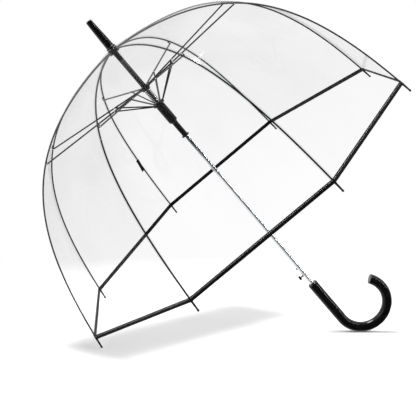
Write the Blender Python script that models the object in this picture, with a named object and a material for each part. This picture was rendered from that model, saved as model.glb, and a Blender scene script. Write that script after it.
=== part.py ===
"""A clear dome umbrella with a straight shaft, a crook handle and a sprung opening runner.

Metres, +Z up the shaft towards the ferrule, +X the way the crook bends. The origin is on the shaft's
axis at the middle of the handle's straight grip, where a hand holds it. The umbrella is modelled open.

Heights are first worked out over the plane of the canopy's rim corners, and lift() then moves them to
the grip. The closed linkage is solved here too, because it says where the catch, the button and the
handle belong.
"""
import math

import bmesh
import bpy
from mathutils import Matrix, Vector

# ---- Driving sizes -------------------------------------------------------------------------------
RIB_COUNT = 8
RIM_RADIUS = 0.425           # shaft axis to a rim corner
DOME_HEIGHT = 0.404          # rim plane up to the ribs' pivots in the crown
CROWN_SLOPE = math.radians(4.5)    # how far a rib leans below level where it leaves the crown
RIM_SLOPE = math.radians(78.7)     # and where it reaches the rim
CROWN_REACH = 0.279          # length of the rib curve's upper handle
RIM_REACH = 0.2645           # length of its lower handle
RIB_ROD_RADIUS = 0.0016
RIB_PIVOT_RADIUS = 0.0092    # shaft axis to a rib's pivot
RIB_TIP_LENGTH = 0.022
RIB_TIP_RADIUS = 0.0023
RIB_TIP_STEP = 0.0002        # length over which the rod widens to the tip
RIB_TIP_CHAMFER = 0.0015
KNEE_RADIUS = 0.2635         # shaft axis to the joint of rib and arm
KNEE_SINK = 0.0019           # the arm's joint lies this far under the rib's centre line
JOINT_CLOSED_RADIUS = 0.0205 # shaft axis to the arm's joint when closed
KNEE_GAP = 0.0009            # each rib half stops this far from the knee's axis

SLIDER_DROP = 0.099          # rib pivots down to the arms' pivots
RUNNER_DROP = 0.044          # arms' pivots down to the struts' pivots
LINK_FOOT_GAP = 0.0002       # between the runner's housing and the struts' feet
STRUT_ON_ARM = 0.0735        # along an arm from its pivot to its strut's joint
LINK_DEPTH = 0.0030          # an arm's or strut's height in the plane it swings in
LINK_WIDTH = 0.0018
LINK_SPACING = 0.0028        # arm's mid plane beside the rib's and the strut's

SHAFT_RADIUS = 0.0050
SHAFT_WALL = 0.0009
SHAFT_IN_HANDLE = 0.060
SHAFT_IN_FERRULE = 0.038

CROWN_RADIUS = 0.0118
CROWN_HEIGHT = 0.0110
CROWN_ROOF = 0.0022          # solid plate over the rib slots
CROWN_BEVEL = 0.0010
SPACER_WALL = 0.0008
SLIDER_FLANGE_RIM = 0.0021   # from the arms' pivots out to the flange's edge
SLIDER_FLANGE_HEIGHT = 0.0060
SLIDER_HUB_WALL = 0.0039
SLIDER_HEIGHT = 0.0100

RUNNER_FLANGE_RIM = 0.0017   # from the struts' pivots out to the flange's edge
RUNNER_FLANGE_HEIGHT = 0.0062
HOUSING_WALL = 0.0020
HOUSING_LENGTH = 0.0485      # strut pivots down to the step
SLEEVE_WALL = 0.0007
SLEEVE_LENGTH = 0.0365       # step down to the end flange
END_FLANGE_RIM = 0.0026      # how far it stands out from the sleeve
END_FLANGE_HEIGHT = 0.0032
WINDOW_SILL = 0.0052         # end flange's lower face up to the catch window
WINDOW_HEIGHT = 0.0115
HOUSING_FLOOR = 0.0012       # plate under the spring
STEP_DROP = 0.0020           # height of the slope below the housing
STEP_BEVEL = 0.0015
FLANGE_BEVEL = 0.0008

SPRING_WIRE_RADIUS = 0.0009
SPRING_INNER_GAP = 0.0006    # between the shaft and the coil
SPRING_OUTER_GAP = 0.0004    # between the coil and the housing's bore
SPRING_TURNS = 22
SPRING_POINTS = 12           # per turn
SPRING_SIDES = 5

FERRULE_LENGTH = 0.072
FERRULE_FOOT_RADIUS = 0.0088
FERRULE_TIP_RADIUS = 0.0066
FERRULE_COLLAR_RADIUS = 0.0108
FERRULE_COLLAR_HEIGHT = 0.0035
FERRULE_STRAIGHT = 0.0120    # over the collar, before the taper
FERRULE_BEVEL = 0.0012
FERRULE_TIP_BEVEL = 0.0010

HANDLE_RADIUS = 0.0110
GRIP_LENGTH = 0.108          # straight part of the handle
CROOK_RADIUS = 0.056         # to the middle of the tube
CROOK_SWEEP = math.radians(215)
CROOK_STEPS = 24
HANDLE_CHAMFER = 0.0010

CATCH_OVER_HANDLE = 0.045    # handle's top up to the catch's flat
CATCH_STAND = 0.0020         # how far its nose stands out of the tube
CATCH_HEIGHT = 0.0085
CATCH_WIDTH = 0.0022
CATCH_HEEL = 0.0028          # how far its root runs on inside the tube, above and below
CATCH_ROOT = 0.0016          # thickness of the root
CATCH_LIP = 0.0012           # height of the nose's upright edge
BUTTON_OVER_HANDLE = 0.0265
BUTTON_SIZE = 0.0080
BUTTON_THICKNESS = 0.0045
BUTTON_REACH = 0.0152        # shaft axis to the button's face
BUTTON_STEM = 0.0030
BUTTON_BEVEL = 0.0009
LATCH_STRIP = 0.0004         # thickness of the leaf spring behind catch and button
LATCH_WIDTH = 0.0030
LATCH_FOOT = 0.0060          # length that lies on the tube's far wall

FILM = 0.0002                # film's modelled thickness
FILM_LEAVES_CROWN = 0.08     # t on the rib curve where the film comes down from the crown on to the ribs
STRAP_LENGTH = 0.038
STRAP_WIDTH = 0.0075
STRAP_THICKNESS = 0.0010
STRAP_RIB = 2                # the rib whose seam the tie strap is sewn to
STRAP_TOP = 0.150            # over the rim plane
STRAP_SPLAY = 0.10           # how far it leans out from the rib's slope

GAP = 0.0003                 # between pieces that touch
SWING_GAP = 0.0004           # beside a piece that turns in a slot
SIDES = 24
ROD_SIDES = 6

# ---- Sizes that follow from what fits in them ----------------------------------------------------
BORE_RADIUS = SHAFT_RADIUS + GAP
CATCH_REACH = SHAFT_RADIUS + CATCH_STAND
SPACER_RADIUS = BORE_RADIUS + SPACER_WALL
SLIDER_HUB_RADIUS = BORE_RADIUS + SLIDER_HUB_WALL
SLEEVE_RADIUS = BORE_RADIUS + SLEEVE_WALL
END_FLANGE_RADIUS = SLEEVE_RADIUS + END_FLANGE_RIM
SPRING_RADIUS = SHAFT_RADIUS + SPRING_INNER_GAP + SPRING_WIRE_RADIUS    # to the middle of the wire
HOUSING_BORE_RADIUS = SPRING_RADIUS + SPRING_WIRE_RADIUS + SPRING_OUTER_GAP
HOUSING_RADIUS = HOUSING_BORE_RADIUS + HOUSING_WALL
LINK_PIVOT_RADIUS = HOUSING_RADIUS + LINK_DEPTH / 2 + LINK_FOOT_GAP     # to the arms' and struts' pivots
SLIDER_FLANGE_RADIUS = LINK_PIVOT_RADIUS + SLIDER_FLANGE_RIM
RUNNER_FLANGE_RADIUS = LINK_PIVOT_RADIUS + RUNNER_FLANGE_RIM

# ---- Derived places, over the rim plane ----------------------------------------------------------
SECTOR = 2 * math.pi / RIB_COUNT
FIRST_RIB = SECTOR / 2       # the crook bends towards the middle of a panel


def rib_azimuth(k):
    return FIRST_RIB + k * SECTOR


def rib_point(t):
    """(radius, height) on the rib's centre line, one cubic curve from crown pivot, t = 0, to rim corner, 1."""
    start = Vector((RIB_PIVOT_RADIUS, DOME_HEIGHT))
    end = Vector((RIM_RADIUS, 0.0))
    upper = start + CROWN_REACH * Vector((math.cos(CROWN_SLOPE), -math.sin(CROWN_SLOPE)))
    lower = end + RIM_REACH * Vector((-math.cos(RIM_SLOPE), math.sin(RIM_SLOPE)))
    s = 1 - t
    return s ** 3 * start + 3 * s * s * t * upper + 3 * s * t * t * lower + t ** 3 * end


def rib_tangent(t):
    step = 1e-4
    low, high = max(t - step, 0.0), min(t + step, 1.0)
    return (rib_point(high) - rib_point(low)).normalized()


def parameter_where(reached):
    """The t on the rib's centre line from which reached(point) is true."""
    low, high = 0.0, 1.0
    for _ in range(50):
        middle = (low + high) / 2
        if reached(rib_point(middle)):
            high = middle
        else:
            low = middle
    return high


def hang_from(point, length, radius):
    """The height at which a link of that length, hung from point, ends at radius."""
    return point.y - math.sqrt(length ** 2 - (point.x - radius) ** 2)


KNEE_T = parameter_where(lambda point: point.x > KNEE_RADIUS)
KNEE = rib_point(KNEE_T)
CROWN_PIVOT = rib_point(0.0)
SLIDER_PIVOT = Vector((LINK_PIVOT_RADIUS, DOME_HEIGHT - SLIDER_DROP))
RUNNER_PIVOT = Vector((LINK_PIVOT_RADIUS, SLIDER_PIVOT.y - RUNNER_DROP))
KNEE_SLOPE = rib_tangent(KNEE_T)
ARM_JOINT = KNEE - KNEE_SINK * Vector((-KNEE_SLOPE.y, KNEE_SLOPE.x))
ARM_LENGTH = (ARM_JOINT - SLIDER_PIVOT).length
STRUT_JOINT = SLIDER_PIVOT + (ARM_JOINT - SLIDER_PIVOT) * STRUT_ON_ARM / ARM_LENGTH
STRUT_LENGTH = (STRUT_JOINT - RUNNER_PIVOT).length
RUNNER_BELOW_PIVOT = HOUSING_LENGTH + SLEEVE_LENGTH + END_FLANGE_HEIGHT

# Closed: the arm's joint swings in to the shaft, the arm hangs from it, and the strut from the arm.
JOINT_REACH = (ARM_JOINT - CROWN_PIVOT).length
JOINT_CLOSED = Vector((JOINT_CLOSED_RADIUS, hang_from(CROWN_PIVOT, JOINT_REACH, JOINT_CLOSED_RADIUS)))
SLIDER_CLOSED = Vector((LINK_PIVOT_RADIUS, hang_from(JOINT_CLOSED, ARM_LENGTH, LINK_PIVOT_RADIUS)))
STRUT_JOINT_CLOSED = SLIDER_CLOSED + (JOINT_CLOSED - SLIDER_CLOSED) * STRUT_ON_ARM / ARM_LENGTH
RUNNER_CLOSED = Vector((LINK_PIVOT_RADIUS, hang_from(STRUT_JOINT_CLOSED, STRUT_LENGTH, LINK_PIVOT_RADIUS)))

CATCH_FLAT = RUNNER_CLOSED.y - RUNNER_BELOW_PIVOT + WINDOW_SILL + GAP
HANDLE_TOP = CATCH_FLAT - CATCH_OVER_HANDLE
BUTTON_HEIGHT = HANDLE_TOP + BUTTON_OVER_HANDLE
GRIP_MIDDLE = HANDLE_TOP - GRIP_LENGTH / 2

FILM_OFFSET = RIB_ROD_RADIUS + GAP          # rib's centre line to the film's inner face
SLOT_CEILING = DOME_HEIGHT + RIB_ROD_RADIUS + SWING_GAP
CROWN_TOP = SLOT_CEILING + CROWN_ROOF
CROWN_BOTTOM = CROWN_TOP - CROWN_HEIGHT
FERRULE_BOTTOM = CROWN_TOP + GAP + FILM + GAP
SHAFT_TOP = FERRULE_BOTTOM + SHAFT_IN_FERRULE
SHAFT_BOTTOM = HANDLE_TOP - SHAFT_IN_HANDLE
SLIDER_TOP = SLIDER_PIVOT.y + SLIDER_FLANGE_HEIGHT / 2
SPRING_SEAT = RUNNER_PIVOT.y - HOUSING_LENGTH + HOUSING_FLOOR


def lift(height):
    """A height over the rim plane as a Z in the part's frame."""
    return height - GRIP_MIDDLE


# ---- Building blocks -----------------------------------------------------------------------------
for old in list(bpy.data.objects):
    bpy.data.objects.remove(old, do_unlink=True)


def material(name, colour, roughness, metallic=0.0, alpha=1.0):
    made = bpy.data.materials.new(name)
    made.use_nodes = True
    shader = made.node_tree.nodes["Principled BSDF"]
    shader.inputs["Base Color"].default_value = (*colour, 1.0)
    shader.inputs["Roughness"].default_value = roughness
    shader.inputs["Metallic"].default_value = metallic
    shader.inputs["Alpha"].default_value = alpha
    made.diffuse_color = (*colour, alpha)
    return made


BLACK_PLASTIC = material("black_gloss_plastic", (0.02, 0.02, 0.02), 0.18)
BLACK_FITTING = material("black_fitting_plastic", (0.025, 0.025, 0.027), 0.35)
BLACK_STEEL = material("black_coated_steel", (0.03, 0.03, 0.032), 0.35, 0.4)
CHROME = material("chromed_steel", (0.75, 0.76, 0.78), 0.12, 1.0)
CLEAR_FILM = material("clear_film", (0.93, 0.95, 0.97), 0.08, 0.0, 0.25)
BLACK_TAPE = material("black_tape", (0.03, 0.03, 0.03), 0.85)


def add_object(name, bm, paint, parent=None):
    """The closed mesh in bm as a named object, its faces facing out."""
    bmesh.ops.remove_doubles(bm, verts=bm.verts, dist=1e-6)
    bmesh.ops.recalc_face_normals(bm, faces=bm.faces)
    mesh = bpy.data.meshes.new(name)
    bm.to_mesh(mesh)
    bm.free()
    mesh.materials.append(paint)
    mesh.shade_smooth()
    mesh.set_sharp_from_angle(angle=math.radians(35))
    made = bpy.data.objects.new(name, mesh)
    bpy.context.collection.objects.link(made)
    if parent:
        made.parent = parent
    return made


def empty(name, location, azimuth=0.0, parent=None):
    made = bpy.data.objects.new(name, None)
    bpy.context.collection.objects.link(made)
    made.location = location
    made.rotation_euler = (0, 0, azimuth)
    made.parent = parent
    return made


def turned(outline, sides=SIDES):
    """A closed outline of (radius, height) pairs spun about the Z axis."""
    bm = bmesh.new()
    corners = [bm.verts.new((r, 0, z)) for r, z in outline]
    pairs = zip(corners, corners[1:] + corners[:1])
    edges = [bm.edges.new(pair) for pair in pairs if max(pair[0].co.x, pair[1].co.x) > 1e-7]
    bmesh.ops.spin(
        bm, geom=corners + edges, cent=(0, 0, 0), axis=(0, 0, 1), angle=2 * math.pi, steps=sides,
        use_merge=True
    )
    bmesh.ops.remove_doubles(bm, verts=bm.verts, dist=1e-6)
    bmesh.ops.dissolve_degenerate(bm, edges=bm.edges, dist=1e-7)
    return bm


def swept(path, radii, sides, across=Vector((0, 1, 0))):
    """A rod with flat ends along path, points in a plane square to across, with a radius at each point."""
    bm = bmesh.new()
    rings = []
    for i, (point, radius) in enumerate(zip(path, radii)):
        before, after = path[max(i - 1, 0)], path[min(i + 1, len(path) - 1)]
        along = (after - before).normalized()
        side = along.cross(across)
        turn = [2 * math.pi * n / sides for n in range(sides)]
        around = [math.cos(a) * side + math.sin(a) * across for a in turn]
        rings.append([bm.verts.new(point + radius * way) for way in around])
    for low, high in zip(rings, rings[1:]):
        for n in range(sides):
            bm.faces.new((low[n], low[(n + 1) % sides], high[(n + 1) % sides], high[n]))
    bm.faces.new(rings[0])
    bm.faces.new(rings[-1])
    return bm


def plate(outline, thickness, middle=0.0):
    """A flat outline of (x, z) pairs as a plate of that thickness, its mid plane at y = middle."""
    bm = bmesh.new()
    face = bm.faces.new([bm.verts.new((x, middle - thickness / 2, z)) for x, z in outline])
    grown = bmesh.ops.extrude_face_region(bm, geom=[face])
    moved = [v for v in grown["geom"] if isinstance(v, bmesh.types.BMVert)]
    bmesh.ops.translate(bm, verts=moved, vec=(0, thickness, 0))
    return bm


def bar_outline(start, end, start_radius, end_radius, steps=6):
    """A straight bar in the x, z plane with a round eye at each end."""
    along = (end - start).normalized()
    heading = math.atan2(along.y, along.x)
    points = []
    for centre, radius, turn in ((start, start_radius, math.pi / 2), (end, end_radius, -math.pi / 2)):
        for n in range(steps + 1):
            a = heading + turn + math.pi * n / steps
            points.append((centre.x + radius * math.cos(a), centre.y + radius * math.sin(a)))
    return points


def box(low, high):
    bm = bmesh.new()
    bmesh.ops.create_cube(bm, size=1.0)
    low, high = Vector(low), Vector(high)
    bmesh.ops.scale(bm, verts=bm.verts, vec=high - low)
    bmesh.ops.translate(bm, verts=bm.verts, vec=(high + low) / 2)
    return bm


def cut(target, bm, name):
    """Takes the closed mesh in bm away from target with a Boolean modifier."""
    cutter = add_object(name, bm, BLACK_FITTING)
    cutter.hide_render = True
    cutter.display_type = "WIRE"
    cutter.parent = target.parent
    cutter.location = target.location
    modifier = target.modifiers.new(name, "BOOLEAN")
    modifier.object = cutter
    modifier.operation = "DIFFERENCE"
    modifier.solver = "EXACT"


def radial_slots(inner_radius, outer_radius, low, high, side_low, side_high):
    """One box per rib, from inner_radius out, between two heights and two sideways limits."""
    bm = bmesh.new()
    for k in range(RIB_COUNT):
        slot = box((inner_radius, side_low, low), (outer_radius, side_high, high))
        mesh = bpy.data.meshes.new("slot")
        slot.to_mesh(mesh)
        slot.free()
        mesh.transform(Matrix.Rotation(rib_azimuth(k), 4, "Z"))
        bm.from_mesh(mesh)
        bpy.data.meshes.remove(mesh)
    return bm


# ---- Shaft and what is fixed to it ---------------------------------------------------------------
def make_shaft(stick):
    """A chromed steel tube, open at both ends, with a slot for the catch and a hole for the button's stem."""
    inner = SHAFT_RADIUS - SHAFT_WALL
    low, high = lift(SHAFT_BOTTOM), lift(SHAFT_TOP)
    outline = [(SHAFT_RADIUS, low), (SHAFT_RADIUS, high), (inner, high), (inner, low)]
    shaft = add_object("shaft", turned(outline), CHROME, stick)
    half = CATCH_WIDTH / 2 + GAP
    foot = lift(CATCH_FLAT)
    cut(shaft, box((-2 * SHAFT_RADIUS, -half, foot - GAP), (-inner / 2, half, foot + CATCH_HEIGHT + GAP)),
        "catch_slot")
    half = BUTTON_STEM / 2 + GAP
    middle = lift(BUTTON_HEIGHT)
    cut(shaft, box((-2 * SHAFT_RADIUS, -half, middle - half), (-inner / 2, half, middle + half)), "stem_hole")


def make_crown(stick):
    """The top notch: a plastic disc with a slot for each rib, fixed to the shaft."""
    low, high = lift(CROWN_BOTTOM), lift(CROWN_TOP)
    crown = add_object("crown", turned([
        (CROWN_RADIUS, low + CROWN_BEVEL), (CROWN_RADIUS, high - CROWN_BEVEL),
        (CROWN_RADIUS - CROWN_BEVEL, high), (BORE_RADIUS, high), (BORE_RADIUS, low),
        (CROWN_RADIUS - CROWN_BEVEL, low),
    ]), BLACK_FITTING, stick)
    half = RIB_ROD_RADIUS + SWING_GAP
    root = RIB_PIVOT_RADIUS - RIB_ROD_RADIUS - SWING_GAP
    slots = radial_slots(root, 2 * CROWN_RADIUS, low - CROWN_BEVEL, lift(SLOT_CEILING), -half, half)
    cut(crown, slots, "rib_slots")


def make_spacer(stick):
    """The black tube under the crown that the slider stops against."""
    low, high = lift(SLIDER_TOP) + GAP, lift(CROWN_BOTTOM) - GAP
    add_object("spacer_tube", turned([(SPACER_RADIUS, low), (SPACER_RADIUS, high), (BORE_RADIUS, high),
                                      (BORE_RADIUS, low)], 16), BLACK_FITTING, stick)


def make_ferrule(stick):
    """The tapered cap over the shaft's top, whose collar clamps the film on the crown."""
    low = lift(FERRULE_BOTTOM)
    high = low + FERRULE_LENGTH
    ceiling = lift(SHAFT_TOP) + GAP
    collar = low + FERRULE_COLLAR_HEIGHT
    add_object("ferrule", turned([
        (FERRULE_COLLAR_RADIUS, low), (FERRULE_COLLAR_RADIUS, collar - FERRULE_BEVEL),
        (FERRULE_COLLAR_RADIUS - FERRULE_BEVEL, collar), (FERRULE_FOOT_RADIUS, collar),
        (FERRULE_FOOT_RADIUS, collar + FERRULE_STRAIGHT), (FERRULE_TIP_RADIUS, high - FERRULE_TIP_BEVEL),
        (FERRULE_TIP_RADIUS - FERRULE_TIP_BEVEL, high), (0, high), (0, ceiling), (BORE_RADIUS, ceiling),
        (BORE_RADIUS, low),
    ]), BLACK_PLASTIC, stick)


def crook_path():
    """The handle's centre line: down the grip, then round the crook towards +X."""
    centre = Vector((CROOK_RADIUS, 0, -GRIP_LENGTH / 2))
    path = [Vector((0, 0, GRIP_LENGTH / 2)), Vector((0, 0, GRIP_LENGTH / 2 - HANDLE_CHAMFER))]
    turns = [CROOK_SWEEP * n / CROOK_STEPS for n in range(CROOK_STEPS)]
    turns += [CROOK_SWEEP - HANDLE_CHAMFER / CROOK_RADIUS, CROOK_SWEEP]
    for turn in turns:
        path.append(centre + CROOK_RADIUS * Vector((-math.cos(turn), 0, -math.sin(turn))))
    return path


def make_handle(stick):
    """A moulded crook with a blind hole for the shaft."""
    path = crook_path()
    radii = [HANDLE_RADIUS] * len(path)
    radii[0] = radii[-1] = HANDLE_RADIUS - HANDLE_CHAMFER
    handle = add_object("handle", swept(path, radii, 20), BLACK_PLASTIC, stick)
    depth = lift(SHAFT_BOTTOM) - GAP
    high = lift(HANDLE_TOP) + HANDLE_CHAMFER
    cut(handle, turned([(BORE_RADIUS, high), (0, high), (0, depth), (BORE_RADIUS, depth)]), "shaft_hole")


# ---- Runner, slider and spring -------------------------------------------------------------------
def make_runner(stick):
    """The sliding sleeve: strut flange, spring housing, narrow sleeve with the catch window, end flange."""
    pivot = lift(RUNNER_PIVOT.y)
    carrier = empty("runner_axis", (0, 0, pivot), parent=stick)
    top = RUNNER_FLANGE_HEIGHT / 2
    step = -HOUSING_LENGTH
    flange = step - SLEEVE_LENGTH
    foot = flange - END_FLANGE_HEIGHT
    floor = step + HOUSING_FLOOR
    bevel = FLANGE_BEVEL
    runner = add_object("runner", turned([
        (RUNNER_FLANGE_RADIUS, -top + bevel), (RUNNER_FLANGE_RADIUS, top - bevel),
        (RUNNER_FLANGE_RADIUS - bevel, top), (HOUSING_BORE_RADIUS, top), (HOUSING_BORE_RADIUS, floor),
        (BORE_RADIUS, floor), (BORE_RADIUS, foot), (END_FLANGE_RADIUS - bevel, foot),
        (END_FLANGE_RADIUS, foot + bevel), (END_FLANGE_RADIUS, flange - bevel),
        (END_FLANGE_RADIUS - bevel, flange), (SLEEVE_RADIUS, flange), (SLEEVE_RADIUS, step - STEP_DROP),
        (HOUSING_RADIUS - STEP_BEVEL, step), (HOUSING_RADIUS, step + STEP_BEVEL), (HOUSING_RADIUS, -top),
        (RUNNER_FLANGE_RADIUS - bevel, -top),
    ]), BLACK_FITTING, carrier)
    half = LINK_WIDTH / 2 + SWING_GAP
    slots = radial_slots(HOUSING_RADIUS, 2 * RUNNER_FLANGE_RADIUS, -2 * top, 2 * top, -half, half)
    cut(runner, slots, "strut_slots")
    half = CATCH_WIDTH / 2 + 2 * GAP
    sill = foot + WINDOW_SILL
    window = box((-2 * END_FLANGE_RADIUS, -half, sill), (-SHAFT_RADIUS / 2, half, sill + WINDOW_HEIGHT))
    cut(runner, window, "catch_window")


def make_slider(stick):
    """The upper notch that carries the arms and stops against the spacer tube."""
    carrier = empty("slider_axis", (0, 0, lift(SLIDER_PIVOT.y)), parent=stick)
    top = SLIDER_FLANGE_HEIGHT / 2
    foot = top - SLIDER_HEIGHT
    bevel = FLANGE_BEVEL
    slider = add_object("upper_slider", turned([
        (SLIDER_FLANGE_RADIUS, -top + bevel), (SLIDER_FLANGE_RADIUS, top - bevel),
        (SLIDER_FLANGE_RADIUS - bevel, top), (BORE_RADIUS, top), (BORE_RADIUS, foot),
        (SLIDER_HUB_RADIUS, foot), (SLIDER_HUB_RADIUS, -top), (SLIDER_FLANGE_RADIUS - bevel, -top),
    ]), BLACK_FITTING, carrier)
    near = -LINK_WIDTH / 2 - SWING_GAP
    far = LINK_SPACING + LINK_WIDTH / 2 + SWING_GAP
    root = LINK_PIVOT_RADIUS - LINK_DEPTH / 2 - SWING_GAP
    cut(slider, radial_slots(root, 2 * SLIDER_FLANGE_RADIUS, -2 * top, 2 * top, near, far), "arm_slots")


def make_spring(stick):
    """The opening spring: a coil from the floor of the runner's housing up to the slider."""
    low = lift(SPRING_SEAT) + SPRING_WIRE_RADIUS + GAP
    high = lift(SLIDER_PIVOT.y) + SLIDER_FLANGE_HEIGHT / 2 - SLIDER_HEIGHT - SPRING_WIRE_RADIUS - GAP
    total = SPRING_TURNS * SPRING_POINTS
    bm = bmesh.new()
    rings = []
    for n in range(total + 1):
        a = 2 * math.pi * n / SPRING_POINTS
        outward = Vector((math.cos(a), math.sin(a), 0))
        centre = outward * SPRING_RADIUS + Vector((0, 0, low + (high - low) * n / total))
        ring = []
        for s in range(SPRING_SIDES):
            b = 2 * math.pi * s / SPRING_SIDES
            place = math.cos(b) * outward + math.sin(b) * Vector((0, 0, 1))
            ring.append(bm.verts.new(centre + SPRING_WIRE_RADIUS * place))
        rings.append(ring)
    for one, two in zip(rings, rings[1:]):
        for s in range(SPRING_SIDES):
            after = (s + 1) % SPRING_SIDES
            bm.faces.new((one[s], one[after], two[after], two[s]))
    bm.faces.new(rings[0])
    bm.faces.new(rings[-1])
    add_object("main_spring", bm, BLACK_STEEL, stick)


# ---- Catch and button ----------------------------------------------------------------------------
def make_catch(stick):
    """The nose that holds the runner down: flat below, sloped above, on a root kept inside the tube."""
    foot = lift(CATCH_FLAT)
    inner = SHAFT_RADIUS - SHAFT_WALL
    root_out = -(inner - 2 * GAP)
    root_in = root_out + CATCH_ROOT
    high = foot + CATCH_HEIGHT
    outline = [
        (root_in, foot - CATCH_HEEL), (root_in, high + CATCH_HEEL), (root_out, high + CATCH_HEEL),
        (root_out, high), (-CATCH_REACH, foot + CATCH_LIP), (-CATCH_REACH, foot), (root_out, foot),
        (root_out, foot - CATCH_HEEL),
    ]
    add_object("bottom_catch", plate(outline, CATCH_WIDTH), BLACK_STEEL, stick)


def make_button(stick):
    """A square push button on a stem that goes through the tube to the leaf spring."""
    middle = lift(BUTTON_HEIGHT)
    half, stem = BUTTON_SIZE / 2, BUTTON_STEM / 2
    bevel = BUTTON_BEVEL
    back = -BUTTON_REACH + BUTTON_THICKNESS
    bm = bmesh.new()
    sections = [
        (-BUTTON_REACH, half - bevel), (-BUTTON_REACH + bevel, half), (back, half), (back, stem),
        (-(SHAFT_RADIUS - SHAFT_WALL) + CATCH_ROOT + GAP, stem),
    ]
    rings = [[bm.verts.new((x, y * h, middle + z * h)) for y, z in ((-1, -1), (1, -1), (1, 1), (-1, 1))]
             for x, h in sections]
    for one, two in zip(rings, rings[1:]):
        for n in range(4):
            bm.faces.new((one[n], one[(n + 1) % 4], two[(n + 1) % 4], two[n]))
    bm.faces.new(rings[0])
    bm.faces.new(rings[-1])
    add_object("push_button", bm, BLACK_PLASTIC, stick)


def make_latch_spring(stick):
    """A leaf spring inside the tube, footed on the far wall, that pushes catch and button out."""
    far = SHAFT_RADIUS - SHAFT_WALL - 2 * GAP - LATCH_STRIP
    near = -(SHAFT_RADIUS - SHAFT_WALL) + CATCH_ROOT + 3 * GAP
    button, high = lift(BUTTON_HEIGHT), lift(CATCH_FLAT) + CATCH_HEIGHT
    foot = lift(HANDLE_TOP) + GAP
    knee = button - BUTTON_STEM
    line = [(far, foot), (far, foot + LATCH_FOOT), (near + LATCH_STRIP, knee), (near + LATCH_STRIP, high)]
    outline = line + [(x + LATCH_STRIP, z) for x, z in reversed(line)]
    add_object("latch_spring", plate(outline, LATCH_WIDTH), BLACK_STEEL, stick)


# ---- Ribs, arms and struts -----------------------------------------------------------------------
def stations(start, end, count):
    """Evenly spaced values of t. Rods and film share them, so that their facets lie side by side."""
    return [start + (end - start) * n / (count - 1) for n in range(count)]


def knee_side(sign):
    """The t at which a rib half stops, KNEE_GAP from the knee."""
    step = 1e-3
    speed = (rib_point(KNEE_T + step) - rib_point(KNEE_T)).length / step
    return KNEE_T + sign * KNEE_GAP / speed


UPPER_STATIONS = stations(FILM_LEAVES_CROWN, knee_side(-1), 8)
LOWER_STATIONS = stations(knee_side(1), 1.0, 12)


def turned_copy(first, name, pivot, azimuth, stick):
    """A copy that shares a radial piece's mesh, turned to its own rib, its origin on its joint's axis."""
    made = bpy.data.objects.new(name, first.data)
    bpy.context.collection.objects.link(made)
    made.parent = stick
    made.location = Matrix.Rotation(azimuth, 3, "Z") @ pivot
    made.rotation_euler = (0, 0, azimuth)
    return made


def make_ring(stem, bm, paint, pivot, stick):
    """One radial piece and its copies around the shaft. bm is in the radial plane of azimuth 0."""
    bmesh.ops.translate(bm, verts=bm.verts, vec=-pivot)
    first = add_object(f"{stem}_1", bm, paint, stick)
    first.location = Matrix.Rotation(rib_azimuth(0), 3, "Z") @ pivot
    first.rotation_euler = (0, 0, rib_azimuth(0))
    for k in range(1, RIB_COUNT):
        turned_copy(first, f"{stem}_{k + 1}", pivot, rib_azimuth(k), stick)


def in_plane(point):
    return Vector((point.x, 0, lift(point.y)))


def make_ribs(stick):
    """Each rib is a thin rod in two halves that bend at the knee; the lower half ends in its plastic tip."""
    upper = [in_plane(rib_point(t)) for t in [0.0] + UPPER_STATIONS]
    make_ring("rib_upper", swept(upper, [RIB_ROD_RADIUS] * len(upper), ROD_SIDES), BLACK_STEEL,
              in_plane(CROWN_PIVOT), stick)
    lower = [in_plane(rib_point(t)) for t in LOWER_STATIONS]
    radii = [RIB_ROD_RADIUS] * len(lower)
    slope = rib_tangent(1.0)
    along = Vector((slope.x, 0, slope.y))
    end = lower[-1]
    for distance in (RIB_TIP_STEP, RIB_TIP_LENGTH - RIB_TIP_CHAMFER, RIB_TIP_LENGTH):
        lower.append(end + distance * along)
    radii += [RIB_TIP_RADIUS, RIB_TIP_RADIUS, RIB_TIP_RADIUS / 2]
    make_ring("rib_lower", swept(lower, radii, ROD_SIDES), BLACK_STEEL, in_plane(KNEE), stick)


def make_links(stick):
    """Arms from the slider to the knees and struts from the runner to the arms, side by side."""
    to_xz = [Vector((p.x, lift(p.y))) for p in (SLIDER_PIVOT, ARM_JOINT, RUNNER_PIVOT, STRUT_JOINT)]
    arm = bar_outline(to_xz[0], to_xz[1], LINK_DEPTH / 2, LINK_DEPTH / 2)
    make_ring("arm", plate(arm, LINK_WIDTH, LINK_SPACING), BLACK_STEEL, in_plane(SLIDER_PIVOT), stick)
    strut = bar_outline(to_xz[2], to_xz[3], LINK_DEPTH / 2, LINK_DEPTH / 2)
    make_ring("strut", plate(strut, LINK_WIDTH), BLACK_STEEL, in_plane(RUNNER_PIVOT), stick)


# ---- Film canopy ---------------------------------------------------------------------------------
def film_section(radius, height):
    """Across one rib: the seam over it and the two edges half way to the next ribs, on straight chords."""
    half = SECTOR / 2
    edge = radius * math.cos(half)
    side = edge * math.sin(half) - GAP / 2
    return [Vector((edge * math.cos(half), -side, height)), Vector((radius, 0, height)),
            Vector((edge * math.cos(half), side, height))]


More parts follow.
